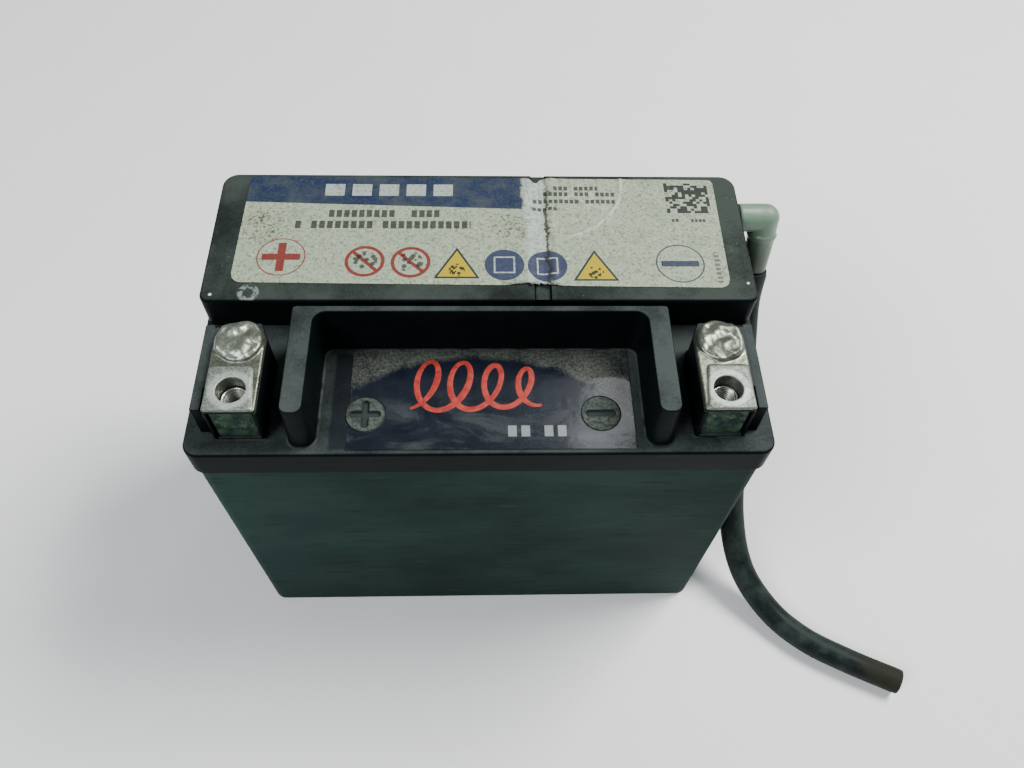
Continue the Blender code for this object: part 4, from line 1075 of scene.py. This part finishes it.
def build_top_label(material):
    """The large printed label, a little askew, with a ragged front edge where it crosses the groove."""
    left, right = (-66.7, -66.2), (67.1, 67.5)  # the ends of each side, at the front and at the back
    front, back = (2.2, 0.4), (41.1, 40.4)  # the ends of each edge, on the left and on the right
    front_r, back_r = 3.0, 1.5

    def corner(side, radius):
        return radius - math.sqrt(radius**2 - (radius - side) ** 2) if side < radius else 0

    def waver(x, length, seed):
        return noise.noise(Vector((x / length, seed, 0)))

    def place(u, v):
        x0, x1 = (ends[0] + (ends[1] - ends[0]) * v for ends in (left, right))
        y0, y1 = (ends[0] + (ends[1] - ends[0]) * u for ends in (front, back))
        x = x0 + (x1 - x0) * u
        side = max(0, min(x - x0, x1 - x))
        ragged = bell(x - 14, 6, 4)
        notch = clamp(1 - abs(x - 15.6) / 2.6)
        y0 += corner(side, front_r) + ragged * (0.4 + 1.3 * waver(x, 1.3, 3) + 0.7 * waver(x, 0.5, 9))
        y1 -= corner(side, back_r) + 2.2 * notch * (0.8 + 0.5 * waver(x, 1.1, 7))
        y = y0 + (y1 - y0) * v
        lift = 0.5 * ragged * max(0, 1 - v * 14) ** 2 * (0.6 + waver(x, 1.6, 0))
        return Vector((x, y, top_label_height(x, y) + max(0, lift)))

    make_piece("printed_label", sheet(320, 90, place, 0.1), material, "top_label", sharp=50)


def film_height(x, y):
    """The front film lies in soft waves, tighter at its back edge."""
    back = clamp((y + 21) / 8)
    waves = 0.07 * noise.noise(Vector((x / 16, y / 9, 0)))
    crumple = 0.1 * (0.15 + back) * abs(noise.fractal(Vector((x, y, 0)) / 2.6, 1.0, 2.0, 3))
    return SHELF + 0.28 + waves + crumple


def build_front_film(material):
    """The dark film in the rail's recess, with a round hole for each sign disc."""
    low, high = FILM_LOW, FILM_HIGH

    def place(u, v):
        x, y = low.x + (high.x - low.x) * u, low.y + (high.y - low.y) * v
        return Vector((x, y, film_height(x, y)))

    holes = [rod(x, y, SIGN_R + FIT, SHELF - 1, SHELF + 2, 64) for x, y in (SIGN_PLUS, SIGN_MINUS)]
    shape = combined(sheet(180, 74, place, 0.12), *((CUT, hole) for hole in holes))
    make_piece("glossy_film", shape, material, "front_label", sharp=50)


def build_marker_scribble(material):
    """A looping scribble in paint marker on the film; it spells nothing."""
    loops, steps, half_wide, crown, sunk = 4, 240, 1.0, 0.06, 0.02
    rise = 0.00006  # a step's rise, so that the line passes over itself

    def centre(t):
        turn = math.tau * loops * t
        swing = 1 + 0.18 * math.sin(3 * t + 1)
        x = -18.5 + 34 * t + 4.0 * swing * math.sin(turn)
        y = -23.2 + 6.3 * swing * -math.cos(turn + 0.25) - 0.8 * t
        return Vector((x, y, 0))

    rings = []
    for i in range(steps + 1):
        t = i / steps
        along = (centre(t + 0.001) - centre(t - 0.001)).normalized()
        across = Vector((-along.y, along.x, 0))
        ends = min(1, 8 * t + 0.5, 8 * (1 - t) + 0.5)
        wide = half_wide * (0.75 + 0.35 * noise.noise(Vector((t * 12, 0, 0)))) * ends
        a, b = centre(t) + across * wide, centre(t) - across * wide
        for spot in (a, b):
            spot.z = film_height(spot.x, spot.y) + 0.03 + rise * i
        middle = (a + b) / 2 + Vector((0, 0, crown))
        under = Vector((0, 0, sunk))
        rings.append([a, middle, b, b - under, a - under])
    make_piece("marker_scribble", shell(rings), material, sharp=70, weighted=False)


def elbow_down():
    return Vector((0, -math.sin(ELBOW_TILT), -math.cos(ELBOW_TILT)))


def build_elbow(material):
    """The nylon elbow: a stub, a rounded corner, a ridge below it and a leg that narrows to the hose."""
    corner, down = Vector((ELBOW_LEG_X, ELBOW_Y, ELBOW_Z)), elbow_down()
    stub = turned([(2.9, -14.8), (2.9, -8.4), (3.7, -8.4), (ELBOW_R, -8.0), (ELBOW_R, 0)], corner, OUT)
    angles = [math.radians(degrees) for degrees in range(-85, 86, 10)]
    ball = turned([(ELBOW_R * math.cos(a), ELBOW_R * math.sin(a)) for a in angles], corner, OUT)
    ridge = [(4.0, 4.2), (4.4, 4.8), (4.45, 5.4), (4.05, 6.2)]
    leg = turned([(4.05, 0), *ridge, (3.5, ELBOW_LEG - 0.4), (3.2, ELBOW_LEG)], corner, down)
    bore = turned([(ELBOW_BORE_R, -20), (ELBOW_BORE_R, 0)], corner, OUT, 32)
    leg_bore = turned([(ELBOW_BORE_R, -0.01), (ELBOW_BORE_R, 22)], corner, down, 32)
    shape = combined(stub, (JOIN, ball), (JOIN, leg), (CUT, bore), (CUT, leg_bore))
    bm = remeshed(shape, voxel=0.25, smoothing=4)
    make_piece("nylon_elbow", bm, material, "vent_elbow", "vent_elbow", sharp=60, weighted=False)


# The hose's route, the same points as in the CAD model, in metres
HOSE_START = (Vector((ELBOW_LEG_X, ELBOW_Y, ELBOW_Z)) + elbow_down() * (ELBOW_LEG + FIT)) * MM
HOSE_ROUTE = [
    HOSE_START,
    HOSE_START + elbow_down() * 0.013,
    Vector((0.0846, 0.0105, 0.074)),
    Vector((0.0856, -0.006, 0.05)),
    Vector((0.0875, -0.023, 0.027)),
    Vector((0.0925, -0.0375, 0.0125)),
    Vector((0.102, -0.0505, 0.0055)),
    Vector((0.113, -0.0605, 0.0043)),
    Vector((0.127, -0.0683, 0.0043)),
    Vector((0.1427, -0.0755, 0.0043)),
]


def smooth_route(route, count):
    """Points spaced evenly along a Catmull-Rom curve through the route."""
    ends = [route[0] * 2 - route[1]] + route + [route[-1] * 2 - route[-2]]
    fine = []
    pieces = 24
    for a, b, c, d in zip(ends, ends[1:], ends[2:], ends[3:]):
        for t in [step / pieces for step in range(pieces)]:
            cubic = (2 * a - 5 * b + 4 * c - d) * t**2 + (3 * b - a - 3 * c + d) * t**3
            fine.append((2 * b + (c - a) * t + cubic) / 2)
    fine.append(route[-1])
    run = [0.0]
    for here, there in zip(fine, fine[1:]):
        run.append(run[-1] + (there - here).length)
    points, k = [], 1
    for i in range(count):
        wanted = run[-1] * i / (count - 1)
        while k < len(run) - 1 and run[k] < wanted:
            k += 1
        points.append(fine[k - 1].lerp(fine[k], (wanted - run[k - 1]) / (run[k] - run[k - 1])))
    return points


def build_hose(material):
    """The rubber hose, pushed over the elbow's leg and cut off square at its open far end."""
    points = [p / MM for p in smooth_route(HOSE_ROUTE, 130)]
    last, bore_steps = len(points) - 1, 20
    side = Vector(OUT)
    frames = []
    for i, place in enumerate(points):
        along = (points[min(i + 1, last)] - points[max(i - 1, 0)]).normalized()
        side = (side - along * side.dot(along)).normalized()
        frames.append((place, side, along.cross(side)))

    def ring(i, radius):
        place, one, two = frames[i]
        return [place + radius * (one * math.cos(a) + two * math.sin(a)) for a in angles_round(32)]

    rings = [ring(0, HOSE_R - 0.7), ring(0, HOSE_R - 0.25)]
    rings += [ring(i, HOSE_R + 0.05 * noise.noise(Vector((i / 9, 2, 0)))) for i in range(1, last)]
    rings += [ring(last, HOSE_R - 0.12), ring(last, HOSE_BORE_R + 0.1)]
    rings += [ring(i, HOSE_BORE_R) for i in range(last - 1, last - bore_steps, -1)]
    hose = make_piece("rubber_hose", shell(rings), material, body=None, sharp=50, weighted=False)
    tuple(HOSE_ROUTE[0])
    tuple(HOSE_ROUTE[6])
    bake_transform(hose)
    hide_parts("vent_hose")


def dress_inner_nodes():
    """Procedural materials for the CAD pieces that keep their own shape."""
    rubber, lead = plain_rubber("black_rubber", (0.012, 0.012, 0.011)), poured_lead()
    finishes = {
        "plates_positive": pasted_plate("positive_paste", (0.06, 0.026, 0.016), (0.15, 0.07, 0.045)),
        "plates_negative": pasted_plate("negative_paste", (0.13, 0.14, 0.15), (0.27, 0.28, 0.29)),
        "separator": glass_mat(),
        "cell_link": lead,
        "terminal_post": lead,
        "valve_cap": rubber,
        "flame_arrestor": porous_disc(),
        "elbow_seal": rubber,
        "post_seal": rubber,
    }
    for node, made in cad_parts.items():
        for start, material in finishes.items():
            if node.startswith(start):
                made.data.materials.clear()
                made.data.materials.append(material)


# Camera, floor and light


def add_camera():
    data = bpy.data.cameras.new("camera")
    data.lens = 30.3
    data.clip_start = 0.01
    data.clip_end = 20
    camera = placed("camera", data)
    camera.location = (0, -0.1432, 0.3059)
    camera.rotation_euler = [math.radians(a) for a in (32.1, -1.59, -1.22)]
    bpy.context.scene.camera = camera


def add_area(name, location, target, size, power, colour):
    data = bpy.data.lights.new(name, "AREA")
    data.shape = "RECTANGLE"
    data.size, data.size_y = size
    data.energy = power
    data.color = colour
    light = placed(name, data)
    light.location = location
    light.rotation_euler = (Vector(target) - Vector(location)).to_track_quat("-Z", "Y").to_euler()


def add_stage():
    """A plain pale floor under a soft grey sky, a warm key light, a cool fill and a narrow window."""
    bm = bmesh.new()
    bmesh.ops.create_grid(bm, x_segments=1, y_segments=1, size=3)
    mesh = mesh_from("floor", bm)
    s = Surface("floor")
    s.give(Base_Color=s.mix(s.noise(60, 3), (0.86, 0.86, 0.86), (0.9, 0.9, 0.9)), Roughness=0.9)
    mesh.materials.append(s.material)
    placed("floor", mesh)
    world = bpy.data.worlds.new("world")
    bpy.context.scene.world = world
    world.use_nodes = True
    background = world.node_tree.nodes["Background"]
    background.inputs["Color"].default_value = (0.88, 0.95, 1, 1)
    background.inputs["Strength"].default_value = 0.22
    add_area("key", (0.6, 0.25, 0.95), (0, 0, 0.1), (0.5, 0.4), 19, (1, 0.99, 0.96))
    add_area("fill", (-0.6, -0.45, 0.95), (0, 0, 0.1), (0.6, 0.5), 10, (0.94, 0.97, 1))
    add_area("window", (0.23, 0.6, 1.05), (0.03, 0, 0.1), (0.1, 0.3), 0.8, (0.95, 0.98, 1))


add_camera()
build_hose(hose_rubber())
add_stage()
build_case(case_plastic())
build_lid(lid_plastic())
build_cover(cover_plastic())
lead, brass = cast_lead(), tinned_brass()
for name, side in (("positive", -1), ("negative", 1)):
    build_terminal_block(name, side, lead)
    build_insert(name, side, brass)
build_top_label(label_film())
build_front_film(front_film())
build_marker_scribble(marker_paint())
build_elbow(pale_nylon())
dress_inner_nodes()
